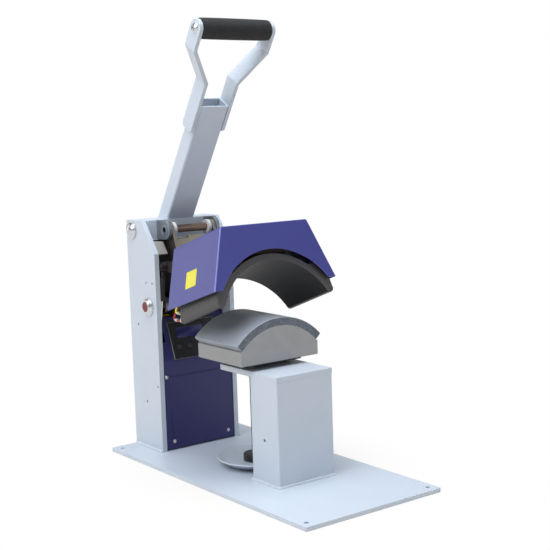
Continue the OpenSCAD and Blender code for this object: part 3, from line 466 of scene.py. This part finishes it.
# %% Finishes for the record's slots
finish_of = {
    "silver_coat": silver_coat, "grey_steel": turned_steel, "link_steel": oxide_steel,
    "bright_steel": zinc_plate, "violet_paint": violet_enamel, "navy_paint": navy_enamel,
    "cast_aluminium": cast_aluminium, "dark_platen": cast_edge, "silicone": silicone_skin,
    "foam": foam_rubber, "black_plastic": black_abs_and_socket_shade, "pale_plastic": pale_abs,
    "button_plastic": key_plastic, "red_plastic": red_plastic, "display": display_glass,
    "nylon": white_nylon, "ceramic": ceramic, "board": mineral_board, "spacer": black_board_with_painted_shade,
    "bronze": bearing_bronze, "yellow_wire": yellow_lead, "red_wire": red_lead,
}
for node, thing in frame["nodes"].items():
    thing.data.materials.clear()
    thing.data.materials.append(finish_of[slot_of[node]])
print(len(finish_of), "finishes on the frame's nodes")

# %% [markdown]
# ## Plates, blocks and turned parts with real edges
# A plate sawn from stock never has a knife edge: grinding leaves a radius of half a millimetre or
# more, and paint rounds it further. That thin line of light is what makes steel look like steel.
# These pieces already have their true outline in the frame, so each is a merged copy whose edges
# are rolled by the radius that suits its stock.

# %% Copies with rolled edges
ROLLED = {
    "base_plate": 0.9, "left_side_plate": 0.8, "right_side_plate": 0.8, "guide_blocks": 0.6,
    "front_cover": 0.35, "rear_cover": 0.35, "controller_housing": 0.5, "controller_bezel": 0.4,
    "controller_screen": 0.3, "mode_button": 0.7, "down_button": 0.7, "up_button": 0.7,
    "start_button": 0.7, "power_inlet": 0.5, "power_switch": 0.4, "lever_shaft": 0,
    "lever_shaft_caps": 0.3, "hub_washers": 0.2, "head_shaft": 0.8, "head_shaft_nuts": 0.3,
    "shaft_collars": 0.4, "earth_wire": 0, "spring_stud": 0.3, "pedestal_tube": 0.5,
    "support_plate": 0.7, "lift_nut": 0.4, "platen_spacer": 0.3, "guide_pins": 0.3,
    "lift_screw": 0.4, "handwheel": 0.2, "handwheel_knob": 0.4, "left_head_arm": 0.6,
    "right_head_arm": 0.6, "head_pivot_tube": 0.4, "insulating_board": 0.3, "platen_bolts": 0.4,
    "heater_terminals": 0.5, "cover_stays": 0.4, "spring_bracket": 0.5, "lever_hub": 1.6,
    "knee_ears": 0.7, "grip_rod": 0.3, "toggle_links": 0.6, "link_pin": 0.4,
    "gas_spring_rod": 0.3, "gas_spring_cylinder": 0.6,
}
SPECIAL = {"guide_blocks": sawn_block, "knee_ears": darker_blue_grey_steel, "gas_spring_rod": chromed_rod}
WINDOWED = ("front_cover", "rear_cover", "controller_bezel")
made = {}
for node, radius in ROLLED.items():
    piece = copy_of(node, node + "_finished", node in WINDOWED)
    soften(piece, radius)
    made[node] = dress(piece, SPECIAL.get(node, finish_of[slot_of[node]]), node)
print(len(made), "pieces copied and rolled")

# %% [markdown]
# ## The rear cover's hem and the display's border
# The rear cover ends in a hem close under the lever's hub, so the copy's top edge is drawn up a
# little. The display's pane is larger than its window: two cuts across the pane give it a border
# that can take the black of the controller's front.

# %% Hem and window border
HEM_FROM, HEM_RISE = 331.0, 3.2
GLASS_LEFT, GLASS_TOP = -29.5, 198.0
edit(made["rear_cover"])
select_where(made["rear_cover"], "verts", lambda p: p.z > HEM_FROM)
bpy.ops.transform.translate(value=(0, 0, HEM_RISE * MM))
edit(made["controller_screen"])
for spot, normal in (((GLASS_LEFT * MM, 0, 0), (1, 0, 0)), ((0, 0, GLASS_TOP * MM), (0, 0, 1))):
    bpy.ops.mesh.select_all(action="SELECT")
    bpy.ops.mesh.bisect(plane_co=spot, plane_no=normal)
bpy.ops.object.mode_set(mode="OBJECT")
print("display pane cut at", GLASS_LEFT, "and", GLASS_TOP, "mm")

# %% [markdown]
# ## Pieces that wear two finishes
# The toggle's cross plate is khaki with oxide, and the links' faces that look to the front get a
# lighter colour as a painted highlight. The head shaft's ends are red with primer, and the rear
# cover's inside is painted dark brown as shade. The controller's rim is pale at its sides and
# below, and black in front.

# %% Second finishes
LINK_INNER = 35
second_finish(made["toggle_links"], khaki_steel, lambda p, n: abs(p.x) < LINK_INNER)
# The links' front faces take the lighter colour as a painted highlight.
second_finish(made["toggle_links"], painted_highlight_steel,
              lambda p, n: abs(p.x) > LINK_INNER and n.y < -0.4)
second_finish(made["head_shaft"], rust_primer, lambda p, n: abs(n.x) > 0.5)
# The rear cover's inside is painted dark brown as shade.
second_finish(made["rear_cover"], painted_shade_brown, lambda p, n: n.y < -0.5)
second_finish(made["controller_screen"], black_abs_and_socket_shade,
              lambda p, n: p.x < GLASS_LEFT or p.z > GLASS_TOP)
second_finish(made["controller_bezel"], black_abs_and_socket_shade, lambda p, n: abs(n.x) < 0.7 and n.z > -0.7)
print("second finishes on the toggle, shaft, rear cover and controller")

# %% [markdown]
# ## Louvre slats
# A louvre is pressed out of the sheet: behind each slot a narrow strip slopes down and inwards, so
# air gets out and nothing can be seen through it. One slat is drawn, tilted and repeated by an
# Array modifier at the slots' pitch.

# %% Louvre slats
SLAT_CENTRE, SLAT_LEAN = Vector((0, 245.6, 122)), math.radians(36)
SLAT_HALF, SLAT_COUNT, SLAT_PITCH = Vector((30, 4, 0.5)), 7, 11
slats = new_box("louvre_slats", SLAT_CENTRE - SLAT_HALF, SLAT_CENTRE + SLAT_HALF)
settle(slats, Matrix.Translation(SLAT_CENTRE * MM) @ Matrix.Rotation(SLAT_LEAN, 4, "X")
       @ Matrix.Translation(-SLAT_CENTRE * MM))
modify(slats, "ARRAY", count=SLAT_COUNT, use_relative_offset=False, use_constant_offset=True,
       constant_offset_displace=(0, 0, SLAT_PITCH * MM))
soften(slats, 0.2, 1)
dress(slats, finish_of["navy_paint"], body="stand", slot="navy_paint")

# %% [markdown]
# ## The lower platen and its pad
# The lower platen is a sand casting with generous edges. The pad is a sheet of silicone sponge bent
# over it: its skin is smooth, but the two ends were cut with a knife and show cells. Two materials
# on one piece do this, and the faces are chosen by the direction they look in.

# %% Lower platen and pad
platen = soften(copy_of("lower_platen", "lower_platen_casting"), 1.4, 3)
dress(platen, cast_aluminium, "lower_platen")
pad = soften(copy_of("silicone_pad", "silicone_pad_sheet"), 1.1, 3)
dress(pad, silicone_skin, "silicone_pad")
second_finish(pad, silicone_cut, lambda p, n: abs(n.y) > 0.8)

# %% [markdown]
# ## The hot upper platen
# The arched casting is grey outside and coated inside. Its two feet have a full flank that stands
# almost upright. So a box is cut to that slope and to the arch's bore, and united with the copy of
# the casting, whose edges are then rolled by a millimetre. The flanks are drawn on the shut head,
# where the arch is level, and then turned up with it.

# %% Upper platen
HEAD_PIVOT = Vector((0, 194.3, 237)) * MM
HEAD_OPEN = math.radians(20)


def head_matrix(angle):
    """Turns a thing drawn on the shut head up to where the open head stands."""
    return (Matrix.Translation(HEAD_PIVOT) @ Matrix.Rotation(-angle, 4, "X")
            @ Matrix.Translation(-HEAD_PIVOT))


BORE_R, BORE_MIDDLE, BORE_LENGTH = 108.0, (0, 8, 135.55), 140.0
FLANK_LOW, FLANK_TOP, FLANK_FRONT, FLANK_BACK = 186.0, 226.0, -44.5, 61.0
FLANK_IN, FLANK_OUT, FLANK_LEAN = 60.0, 103.5, 6.0
hot = copy_of("upper_platen", "upper_platen_casting", windowed=True)
for side in (-1, 1):
    low_x, high_x = sorted((side * FLANK_IN, side * (FLANK_OUT + 1)))
    flank = new_box("casting_flank", (low_x, FLANK_FRONT, FLANK_LOW),
                    (high_x, FLANK_BACK, FLANK_TOP))
    edit(flank)
    outward = Vector((side * (FLANK_TOP - FLANK_LOW), 0, FLANK_LEAN)).normalized()
    bpy.ops.mesh.bisect(plane_co=(side * FLANK_OUT * MM, 0, FLANK_LOW * MM), plane_no=outward,
                        clear_outer=True, use_fill=True)
    bpy.ops.object.mode_set(mode="OBJECT")
    cut(flank, new_round("casting_bore", BORE_MIDDLE, BORE_R, BORE_LENGTH, "Y", 128))
    settle(flank, head_matrix(HEAD_OPEN))
    modify(hot, "BOOLEAN", operation="UNION", solver="EXACT", object=flank)
    bpy.data.objects.remove(flank)
soften(hot, 1.0, 2)
dress(hot, cast_edge, "upper_platen")

# %% [markdown]
# ## The platen's coat and the painted highlight on its rim
# Faces that look towards the arch's axis take the charcoal coat, and the narrow bevel in front of
# them gets a lighter colour as a painted highlight. The axis is turned up with the head, so the
# test is done in the shut head's own frame.

# %% Coat by direction
ARCH_AXIS_Z, COAT_R, RIM_R = 135.5, 103.6, 105.5
to_shut = head_matrix(HEAD_OPEN).inverted()


def towards_axis(p, n, within):
    """The direction, in the shut head, of a face near the arch that looks at its axis."""
    middle, looks = to_shut @ (p * MM), to_shut.to_3x3() @ n
    radial = Vector((middle.x, 0, middle.z - ARCH_AXIS_Z * MM))
    return looks if radial.length < within * MM and looks.dot(radial) < 0 else None


def is_coated(p, n):
    """True for the bore's faces."""
    looks = towards_axis(p, n, COAT_R)
    return looks is not None and abs(looks.y) < 0.3


def is_rim(p, n):
    """True for the bevel between the bore and the front."""
    looks = towards_axis(p, n, RIM_R)
    return looks is not None and -0.95 < looks.y < -0.25 and not is_coated(p, n)


second_finish(hot, non_stick, is_coated)
# The rim's bevel takes the lighter colour: a painted highlight.
second_finish(hot, painted_highlight_steel, is_rim)
print(sum(face.material_index == 1 for face in hot.data.polygons), "coated faces")

# %% [markdown]
# ## The head's folded cover
# The cover is one sheet of 1.5 mm steel, folded down at the front and at both sides, open below and
# behind, with an arch cut into its front. It starts as a cube whose lower face is widened. The two
# open faces are deleted, the folds are bevelled to a bending radius, Solidify gives the sheet its
# thickness, and a boolean cylinder cuts the arch.

# %% Head cover
COVER_LOW, COVER_TOP = 212.0, 303.3
COVER_FRONT, COVER_BACK = -52.8, 79.0
TOP_HALF, LOW_HALF = 77.7, 109.7
SHEET, FOLD_R = 1.5, 2.5
cover = new_box("head_cover_sheet", (-TOP_HALF, COVER_FRONT, COVER_LOW),
                (TOP_HALF, COVER_BACK, COVER_TOP))
edit(cover)
select_where(cover, "verts", lambda p: p.z < COVER_LOW + 1)
bpy.ops.transform.resize(value=(LOW_HALF / TOP_HALF, 1, 1),
                         center_override=(0, 0, COVER_LOW * MM))
select_where(cover, "faces", lambda p: p.z < COVER_LOW + 1)
bpy.ops.mesh.delete(type="FACE")
select_where(cover, "faces", lambda p: p.y > COVER_BACK - 1)
bpy.ops.mesh.delete(type="FACE")
select_where(cover, "edges", lambda p: p.z > COVER_TOP - 1 and p.y < COVER_FRONT + 1)
choose_edges(cover, lambda edge, run: edge.select or len(edge.link_faces) == 2)
bpy.ops.mesh.bevel(offset=FOLD_R * MM, segments=5, affect="EDGES")
bpy.ops.mesh.select_all(action="SELECT")
bpy.ops.mesh.normals_make_consistent(inside=False)
bpy.ops.object.mode_set(mode="OBJECT")
modify(cover, "SOLIDIFY", thickness=SHEET * MM, offset=-1, use_even_offset=True)
ARCH_MIDDLE_Z, ARCH_R = 151, 113
cut(cover, new_round("arch_tool", (0, COVER_FRONT, ARCH_MIDDLE_Z), ARCH_R, 24, "Y", 160))
soften(cover, 0.3, 2, 50)
COVER_TURN = head_matrix(HEAD_OPEN - math.radians(2.6))
dress(settle(cover, COVER_TURN), violet_enamel, "head_cover")
# The fold's bevel faces take the lighter violet: a painted highlight along the fold.
second_finish(cover, violet_painted_fold_highlight, lambda p, n: abs(n.y) > 0.25 and abs(n.x) > 0.25)

# %% [markdown]
# ## A plain patch on the cover
# The side of the cover carries a small square of yellow vinyl, kept blank here. Vinyl is a quarter
# of a millimetre thick and is punched with round corners, so a flat box gets its four short edges
# bevelled wide. It is turned to the slope of the panel and laid on it.

# %% Blank patch
PANEL_SLOPE = math.atan2(LOW_HALF - TOP_HALF, COVER_TOP - COVER_LOW)
PATCH_DOWN, PATCH_Y = 62.0, 17.3
VINYL, PATCH_HALF_W, PATCH_HALF_H = 0.25, 14.5, 12.9
patch = new_box("blank_patch", (-VINYL, -PATCH_HALF_W, -PATCH_HALF_H),
                (0, PATCH_HALF_W, PATCH_HALF_H))
edit(patch)
select_where(patch, "edges", lambda p: True)
choose_edges(patch, lambda edge, run: abs(run.x) > 0.9)
bpy.ops.mesh.bevel(offset=2 * MM, segments=5, affect="EDGES")
bpy.ops.object.mode_set(mode="OBJECT")
down = Vector((-math.sin(PANEL_SLOPE), 0, -math.cos(PANEL_SLOPE)))
patch_place = (Vector((-TOP_HALF, PATCH_Y, COVER_TOP)) + down * PATCH_DOWN) * MM
settle(patch, COVER_TURN @ Matrix.Translation(patch_place)
       @ Matrix.Rotation(PANEL_SLOPE, 4, "Y"))
dress(soften(patch, 0), yellow_vinyl, body="head", slot="yellow_wire")

# %% [markdown]
# ## The lever: tube and fork
# The lever is a rectangular tube with rolled corners, open at the top, mitred onto the hub below.
# Two flat bars lap its sides, spread out and hold the grip. The tube is a cube without its ends,
# bevelled along its length and given its wall. A bar grows from a straight box by two extrusions,
# the first one shifted sideways, and its ends are rounded by a wide bevel.

# %% Lever tube
LEVER_FOOT, LEVER_LEAN = Vector((0, 219.7, 374)), math.radians(32.8)
LEVER_TURN = Matrix.Translation(LEVER_FOOT * MM) @ Matrix.Rotation(LEVER_LEAN, 4, "X")
HUB_TOP = 371.5
HALF_W, HALF_D, TUBE_LOW, TUBE_L = 25.0, 13.6, -25.0, 211.0
TUBE_WALL, TUBE_CORNER = 3.0, 3.2
tube = new_box("lever_tube_steel", (-HALF_W, -HALF_D, TUBE_LOW), (HALF_W, HALF_D, TUBE_L))
edit(tube)
select_where(tube, "edges", lambda p: True)
choose_edges(tube, lambda edge, run: abs(run.z) > 0.9)
bpy.ops.mesh.bevel(offset=TUBE_CORNER * MM, segments=5, affect="EDGES")
select_where(tube, "faces", lambda p: p.z > TUBE_L - 1)
bpy.ops.mesh.delete(type="FACE")
select_where(tube, "faces", lambda p: p.z < TUBE_LOW + 1)
bpy.ops.mesh.delete(type="FACE")
bpy.ops.object.mode_set(mode="OBJECT")
modify(tube, "SOLIDIFY", thickness=TUBE_WALL * MM, offset=-1, use_even_offset=True)
edit(settle(tube, LEVER_TURN))
bpy.ops.mesh.bisect(plane_co=(0, 0, HUB_TOP * MM), plane_no=(0, 0, 1), clear_inner=True,
                    use_fill=True)
bpy.ops.object.mode_set(mode="OBJECT")
dress(soften(tube, 0.4, 2, 60), silver_coat, "lever_tube")

# %% Fork arms
ARM_T, LAP, BEND_A, BEND_B, GRIP_S, GRIP_HALF = 6.0, 165.0, 250.0, 303.0, 333.0, 61.0
BEND_R, LAP_R, ROD_R = 2.0, 6.0, 4.1
for side, node in ((1, "right_fork_arm"), (-1, "left_fork_arm")):
    arm = new_box(node + "_bar", (HALF_W, -HALF_D, LAP), (HALF_W + ARM_T, HALF_D, BEND_A))
    edit(arm)
    select_where(arm, "faces", lambda p: p.z > BEND_A - 1)
    for shift, rise in ((GRIP_HALF - HALF_W, BEND_B - BEND_A), (0, GRIP_S + HALF_D - BEND_B)):
        bpy.ops.mesh.extrude_region_move(
            TRANSFORM_OT_translate={"value": (shift * MM, 0, rise * MM)})
    mitre = ARM_T * math.tan(math.atan2(GRIP_HALF - HALF_W, BEND_B - BEND_A) / 2)
    for level, wall in ((BEND_A, HALF_W), (BEND_B, GRIP_HALF)):
        select_where(arm, "verts", lambda p: abs(p.z - level) < 1 and p.x > wall + 1)
        bpy.ops.transform.translate(value=(0, 0, -mitre * MM))
    for level in (BEND_A, BEND_B):
        select_where(arm, "edges", lambda p: abs(p.z - level) < mitre + 1)
        choose_edges(arm, lambda edge, run: edge.select and abs(run.y) > 0.5)
        bpy.ops.mesh.bevel(offset=BEND_R * MM, segments=3, affect="EDGES")
    for level, radius, steps in ((GRIP_S + HALF_D, HALF_D - 0.05, 10), (LAP, LAP_R, 5)):
        select_where(arm, "edges", lambda p: abs(p.z - level) < 1)
        choose_edges(arm, lambda edge, run: edge.select and abs(run.x) > 0.5)
        bpy.ops.mesh.bevel(offset=radius * MM, segments=steps, affect="EDGES")
    bpy.ops.object.mode_set(mode="OBJECT")
    cut(arm, new_round("rod_hole", (GRIP_HALF + ARM_T / 2, 0, GRIP_S), ROD_R, 20, "X", 40))
    if side < 0:
        arm.scale.x = -1
        edit(settle(arm))
        bpy.ops.mesh.normals_make_consistent(inside=False)
        bpy.ops.object.mode_set(mode="OBJECT")
    settle(arm, LEVER_TURN)
    dress(soften(arm, 0.7, 2, 40), silver_coat, node)

# %% [markdown]
# ## The foam grip
# The grip is a sleeve of foam rubber pushed over a steel rod. Foam swells a little between its ends
# and its end faces are pressed flat by the fork. A cylinder with rings along its length, scaled up
# gently towards the middle, gives that, and its ends get a soft bevel.

# %% Foam grip
GRIP_R, GRIP_LEN, GRIP_BORE = 15.0, 121.4, 7.1
ring_places = range(-48, 49, 12)
grip = new_round("foam_grip_sleeve", (0, 0, GRIP_S), GRIP_R, GRIP_LEN, "X", 72)
edit(grip)
select_where(grip, "edges", lambda p: abs(abs(p.x) - GRIP_LEN / 2) < 0.5)
bpy.ops.mesh.bevel(offset=1.8 * MM, segments=5, affect="EDGES")
for place_x in ring_places:
    bpy.ops.mesh.select_all(action="SELECT")
    bpy.ops.mesh.bisect(plane_co=(place_x * MM, 0, 0), plane_no=(1, 0, 0))
for place_x in ring_places:
    swell = 1 + 0.033 * math.cos(math.pi * place_x / GRIP_LEN) ** 0.5
    select_where(grip, "verts", lambda p: abs(p.x - place_x) < 0.3)
    bpy.ops.transform.resize(value=(1, swell, swell),
                             center_override=(place_x * MM, 0, GRIP_S * MM))
bpy.ops.object.mode_set(mode="OBJECT")
cut(grip, new_round("rod_bore", (0, 0, GRIP_S), GRIP_BORE, GRIP_LEN + 20, "X", 48))
settle(grip, LEVER_TURN)
dress(soften(grip, 0), foam_rubber, "foam_grip")

# %% [markdown]
# ## The carrier plate, the knee and its rings
# The knee shaft is browned steel; its flush screws are bright, and their sockets are painted
# black as shade. Its two spacer rings are white nylon, so the copy of this node takes four
# materials. Faces are told apart by how far they lie from the shaft's axis and from the middle of
# the machine. The carrier plate of the hot platen is khaki, and its faces that look to the front
# or down are painted dark brown as shade.

# %% Knee parts and carrier plate
carrier = soften(copy_of("carrier_plate", "carrier_plate_finished"), 0.5)
dress(carrier, khaki_steel, "carrier_plate")
# Faces that look to the front or down are painted dark brown as shade.
second_finish(carrier, painted_shade_brown, lambda p, n: n.y < -0.5 or n.z < -0.5)
knee = soften(copy_of("knee_parts", "knee_shaft_and_rings"), 0.4)
dress(knee, bronzed_shaft, "knee_parts")
KNEE = Vector((0, 180, 357))
SHAFT_R, RING_IN, RING_OUT, SCREW_FROM, SOCKET_R = 6.3, 29, 36, 43.4, 6
second_finish(knee, white_nylon, lambda p, n: RING_IN < abs(p.x) < RING_OUT
              and ((p - KNEE).yz.length > SHAFT_R or abs(n.x) > 0.7))
second_finish(knee, zinc_plate, lambda p, n: abs(p.x) > SCREW_FROM)
# The screws' sockets take this black as painted shade in the recess.
second_finish(knee, black_abs_and_socket_shade,
              lambda p, n: 43.9 < abs(p.x) < 47.2 and (p - KNEE).yz.length < SOCKET_R)

# %% [markdown]
# ## Weld beads
# Both side plates and the pedestal are welded to the base plate, and the lever's tube to its hub.
# The paint over a bead shows its ripples. A bead is a row of small overlapping blobs, one for
# each time the torch dwelt, fused by a voxel remesh. The blobs differ a little in size, from a
# seeded random draw.

# %% Weld beads
rng = random.Random(7)
BLOB_PITCH, BASE_WELD_R, LEVER_WELD_R = 2.3, 3.1, 1.8


def weld(name, start, end, radius, body):
    """A painted weld bead from one point to another, in millimetres."""
    start, end = Vector(start), Vector(end)
    count = max(2, int((end - start).length / BLOB_PITCH))
    blobs = []
    for i in range(count + 1):
        spot = start.lerp(end, i / count) * MM
        pick()
        bpy.ops.mesh.primitive_ico_sphere_add(
            subdivisions=2, radius=radius * rng.uniform(0.86, 1.12) * MM, location=spot)
        blobs.append(bpy.context.active_object)
    bead = join(name, *blobs)
    settle(bead)
    modify(bead, "REMESH", mode="VOXEL", voxel_size=0.7 * MM)
    modify(bead, "SMOOTH", factor=0.5, iterations=2)
    pick(bead)
    bpy.ops.object.shade_smooth()
    return dress(bead, silver_coat, body=body, slot="silver_coat")


for word, x in (("left", -74), ("right", 74)):
    weld("foot_weld_" + word, (x, 173, 6.4), (x, 249, 6.4), BASE_WELD_R + 0.2, "stand")
for word, y in (("front", -105.6), ("back", -41.8)):
    weld("pedestal_weld_" + word, (-49, y, 6.2), (49, y, 6.2), BASE_WELD_R, "stand")
for word, x in (("left", -50.2), ("right", 50.2)):
    weld("pedestal_weld_" + word, (x, -104, 6.2), (x, -43, 6.2), BASE_WELD_R, "stand")
weld("lever_weld", (-24, 214.5, 371.6), (24, 214.5, 371.6), LEVER_WELD_R, "lever")

# %% [markdown]
# ## Screws
# Sheet parts are held by pan-head screws with a cross recess. One screw is modelled: the cap of a
# sphere, with two crossing slots cut into it. Each place then gets its own copy, turned a little
# differently, as a hand would leave them.

# %% Pan-head screws
def pan_screw(radius, height, slot_w, slot_l):
    """A pan head with a cross recess, standing on z = 0."""
    big = (radius ** 2 + height ** 2) / (2 * height)
    pick()
    bpy.ops.mesh.primitive_uv_sphere_add(segments=40, ring_count=60, radius=big * MM,
                                         location=(0, 0, (height - big) * MM))
    head = settle(bpy.context.active_object)
    edit(head)
    bpy.ops.mesh.bisect(plane_co=(0, 0, 0), plane_no=(0, 0, 1), clear_inner=True, use_fill=True)
    bpy.ops.object.mode_set(mode="OBJECT")
    for turn_by in (0, 90):
        slot_tool = new_box("slot_tool", (-slot_l / 2, -slot_w / 2, height * 0.35),
                            (slot_l / 2, slot_w / 2, height + 3))
        slot_tool.rotation_euler.z = math.radians(turn_by)
        settle(slot_tool)
        cut(head, slot_tool)
    return soften(head, 0.12, 1, 50)


def place_screws(name, node, model, spots, body_matrix=None):
    """Copies the model screw to each spot (place and outward direction) and joins them."""
    copies = []
    for spot, outward in spots:
        twin = bpy.data.objects.new("screw", model.data.copy())
        bpy.context.scene.collection.objects.link(twin)
        aim = Vector(outward).to_track_quat("Z", "Y").to_matrix().to_4x4()
        twin.matrix_world = (Matrix.Translation(Vector(spot) * MM) @ aim
                             @ Matrix.Rotation(rng.uniform(0, math.pi), 4, "Z"))
        settle(twin, body_matrix)
        copies.append(twin)
    screws = join(name, *copies)
    return dress(screws, zinc_plate, node)


FRONT_SHEET_Y, BACK_SHEET_Y = 170, 250.5
small = pan_screw(2.9, 1.6, 0.7, 3.3)
front_spots = [((x, FRONT_SHEET_Y, z), (0, -1, 0))
               for x, z in ((-50.3, 19.5), (53.2, 19.5), (-60.2, 124.6), (60.2, 124.6))]
back_spots = [((x, BACK_SHEET_Y, z), (0, 1, 0)) for x in (-50.4, 50.4) for z in (20, 318)]
place_screws("sheet_screws", "cover_screws", small, front_spots + back_spots)
large = pan_screw(4.4, 2.4, 1.1, 5.2)
top_spots = [((x, y, COVER_TOP), (0, 0, 1)) for x in (-31, 31) for y in (-16.8, 43.2)]
place_screws("head_cover_screw_heads", "head_cover_screws", large, top_spots, COVER_TURN)
grip_head = pan_screw(8.0, 4.5, 1.6, 8.0)
grip_spots = [((side * (GRIP_HALF + ARM_T), 0, GRIP_S), (side, 0, 0)) for side in (-1, 1)]
place_screws("grip_screw_heads", "grip_screws", grip_head, grip_spots, LEVER_TURN)
for model in (small, large, grip_head):
    bpy.data.objects.remove(model)

# %% [markdown]
# ## Heater leads
# A red and a yellow lead run from the ceramic terminals up to the left head arm, each through a
# short ceramic sleeve near its start. A lead is a curve with a round bevel, bent smoothly between
# a few points, and turned into a mesh so that it can travel with the head like any other piece.

# %% Heater leads
LEAD_R, SLEEVE_R, SLEEVE_LENGTH = 1.5, 2.3, 7
EXIT_Y, BEND_Y = 72, 103
leads = []
routes = (((-94.3, 187.8), 247.35, red_lead), ((-88.3, 197.4), 254.35, yellow_lead))
for (start_x, start_z), end_z, insulation in routes:
    start = Vector((start_x, EXIT_Y, start_z))
    bend = Vector((start_x + 4, BEND_Y, start_z + 8))
    end = Vector((-36.6, 139, end_z))
    points = [start, start + Vector((0, 8, 0)), start.lerp(bend, 0.6), bend, bend.lerp(end, 0.2),
              bend.lerp(end, 0.5) + Vector((0, 1, -1)), bend.lerp(end, 0.8), end]
    curve = bpy.data.curves.new("heater_lead", "CURVE")
    curve.dimensions = "3D"
    curve.bevel_depth = LEAD_R * MM
    curve.bevel_resolution = 4
    curve.use_fill_caps = True
    spline = curve.splines.new("NURBS")
    spline.points.add(len(points) - 1)
    for point, spot in zip(spline.points, points):
        point.co = list(spot * MM) + [1]
    spline.use_endpoint_u = True
    spline.order_u = 4
    lead = bpy.data.objects.new("heater_lead", curve)
    bpy.context.scene.collection.objects.link(lead)
    lead.data.materials.append(insulation)
    pick(lead)
    bpy.ops.object.convert(target="MESH")
    leads.append(settle(bpy.context.active_object, head_matrix(HEAD_OPEN)))
    sleeve = new_round("ceramic_sleeve", (0, 0, 0), SLEEVE_R, SLEEVE_LENGTH, "Z", 32)
    soften(sleeve, 0.6, 2)
    sleeve.data.materials.append(ceramic)
    aim = (bend - start).to_track_quat("Z", "Y").to_matrix().to_4x4()
    sleeve.matrix_world = Matrix.Translation(start.lerp(bend, 0.62) * MM) @ aim
    leads.append(settle(sleeve, head_matrix(HEAD_OPEN)))
heater_leads = join("heater_leads", *leads)
pick(heater_leads)
bpy.ops.object.shade_smooth()
dress(heater_leads, None, "heater_wires")

# %% [markdown]
# ## Floor, light and background
# The machine stands in a plain white studio. The floor keeps its shadow near the machine and fades
# to pure white further off. White is given only to camera, mirror and glass rays, so that it adds
# no light to the paint.

# %% Floor
FLOOR_R, FLOOR_Z = 14, -0.0006
pick()
bpy.ops.mesh.primitive_circle_add(vertices=96, radius=FLOOR_R, fill_type="NGON",
                                  location=(0, 0, FLOOR_Z))
floor = bpy.context.active_object
floor.name = "studio_floor"
floor_paint, tree, shader, place = new_material("white_studio_floor", Roughness=0.9)
shader.inputs["Base Color"].default_value = linear("#DCD6CD")
shader.inputs["Specular IOR Level"].default_value = 0.1
path = add_node(tree, "ShaderNodeLightPath")
seen = add_node(tree, "ShaderNodeMath", {0: path.outputs["Is Camera Ray"],
                                         1: path.outputs["Is Glossy Ray"]}, operation="MAXIMUM")
seen_all = add_node(tree, "ShaderNodeMath", {0: seen.outputs["Value"],
                                             1: path.outputs["Is Transmission Ray"]},
                    operation="MAXIMUM")
centre = add_node(tree, "ShaderNodeMapping", {"Vector": place, "Scale": (1.0, 0.8, 0.0)})
reach = add_node(tree, "ShaderNodeVectorMath", {0: centre.outputs["Vector"]}, operation="LENGTH")
fade = add_node(tree, "ShaderNodeMapRange", {"Value": reach.outputs["Value"], "From Min": -0.25,
                                             "From Max": 0.28}, interpolation_type="SMOOTHSTEP")
share = add_node(tree, "ShaderNodeMath", {0: fade.outputs["Result"],
                                          1: seen_all.outputs["Value"]}, operation="MULTIPLY")
glow = add_node(tree, "ShaderNodeEmission", {"Color": (1, 1, 1, 1), "Strength": 1.0})
blend = add_node(tree, "ShaderNodeMixShader", {0: share.outputs["Value"], 1: shader.outputs["BSDF"],
                                               2: glow.outputs["Emission"]})
output = next(n for n in tree.nodes if n.type == "OUTPUT_MATERIAL")
tree.links.new(blend.outputs["Shader"], output.inputs["Surface"])
floor.data.materials.append(floor_paint)
print("floor", FLOOR_R * 2, "m across")

# %% [markdown]
# ## World and lamps
# The world gives camera and glass rays plain white, mirror rays a soft grey for the metal to
# show, and all other rays a dim even light. Four square area lamps stand for softboxes: the top
# one does most, and the one on the left lifts the side that the camera sees.

# %% World and lamps
world = bpy.data.worlds.new("studio")
bpy.context.scene.world = world
world.use_nodes = True
tree = world.node_tree
tree.nodes.clear()
path = add_node(tree, "ShaderNodeLightPath")
seen = add_node(tree, "ShaderNodeMath", {0: path.outputs["Is Camera Ray"],
                                         1: path.outputs["Is Transmission Ray"]},
                operation="MAXIMUM")
ambient = add_node(tree, "ShaderNodeBackground", {"Color": linear("#EFF1F4"), "Strength": 0.34})
mirror = add_node(tree, "ShaderNodeBackground", {"Color": linear("#F0F1F3"), "Strength": 0.42})
white = add_node(tree, "ShaderNodeBackground", {"Color": (1, 1, 1, 1), "Strength": 1.0})
inner = add_node(tree, "ShaderNodeMixShader", {0: path.outputs["Is Glossy Ray"],
                                               1: ambient.outputs["Background"],
                                               2: mirror.outputs["Background"]})
outer = add_node(tree, "ShaderNodeMixShader", {0: seen.outputs["Value"], 1: inner.outputs["Shader"],
                                               2: white.outputs["Background"]})
add_node(tree, "ShaderNodeOutputWorld", {"Surface": outer.outputs["Shader"]})
LAMP_AIM = Vector((0, 0.05, 0.3))


def softbox(name, place, size, watts, colour):
    """A square area lamp that faces the machine."""
    lamp = bpy.data.lights.new(name, "AREA")
    lamp.size, lamp.energy, lamp.color = size, watts, linear(colour)[:3]
    thing = bpy.data.objects.new(name, lamp)
    thing.location = place
    thing.rotation_euler = (LAMP_AIM - Vector(place)).to_track_quat("-Z", "Y").to_euler()
    bpy.context.scene.collection.objects.link(thing)


softbox("key_left", (-1.8, -0.2, 1.8), 1.4, 29, "#EFF5FF")
softbox("sheen_left", (-1.4, 2.2, 1.0), 1.6, 9, "#FFFFFF")
softbox("top", (-0.1, -0.1, 2.4), 1.6, 55, "#F2F7FF")
softbox("front_fill", (0.9, -2.2, 0.9), 1.8, 6, "#E8F1FF")
bpy.context.scene.view_settings.view_transform = "Standard"
print(len(bpy.data.lights), "softboxes")
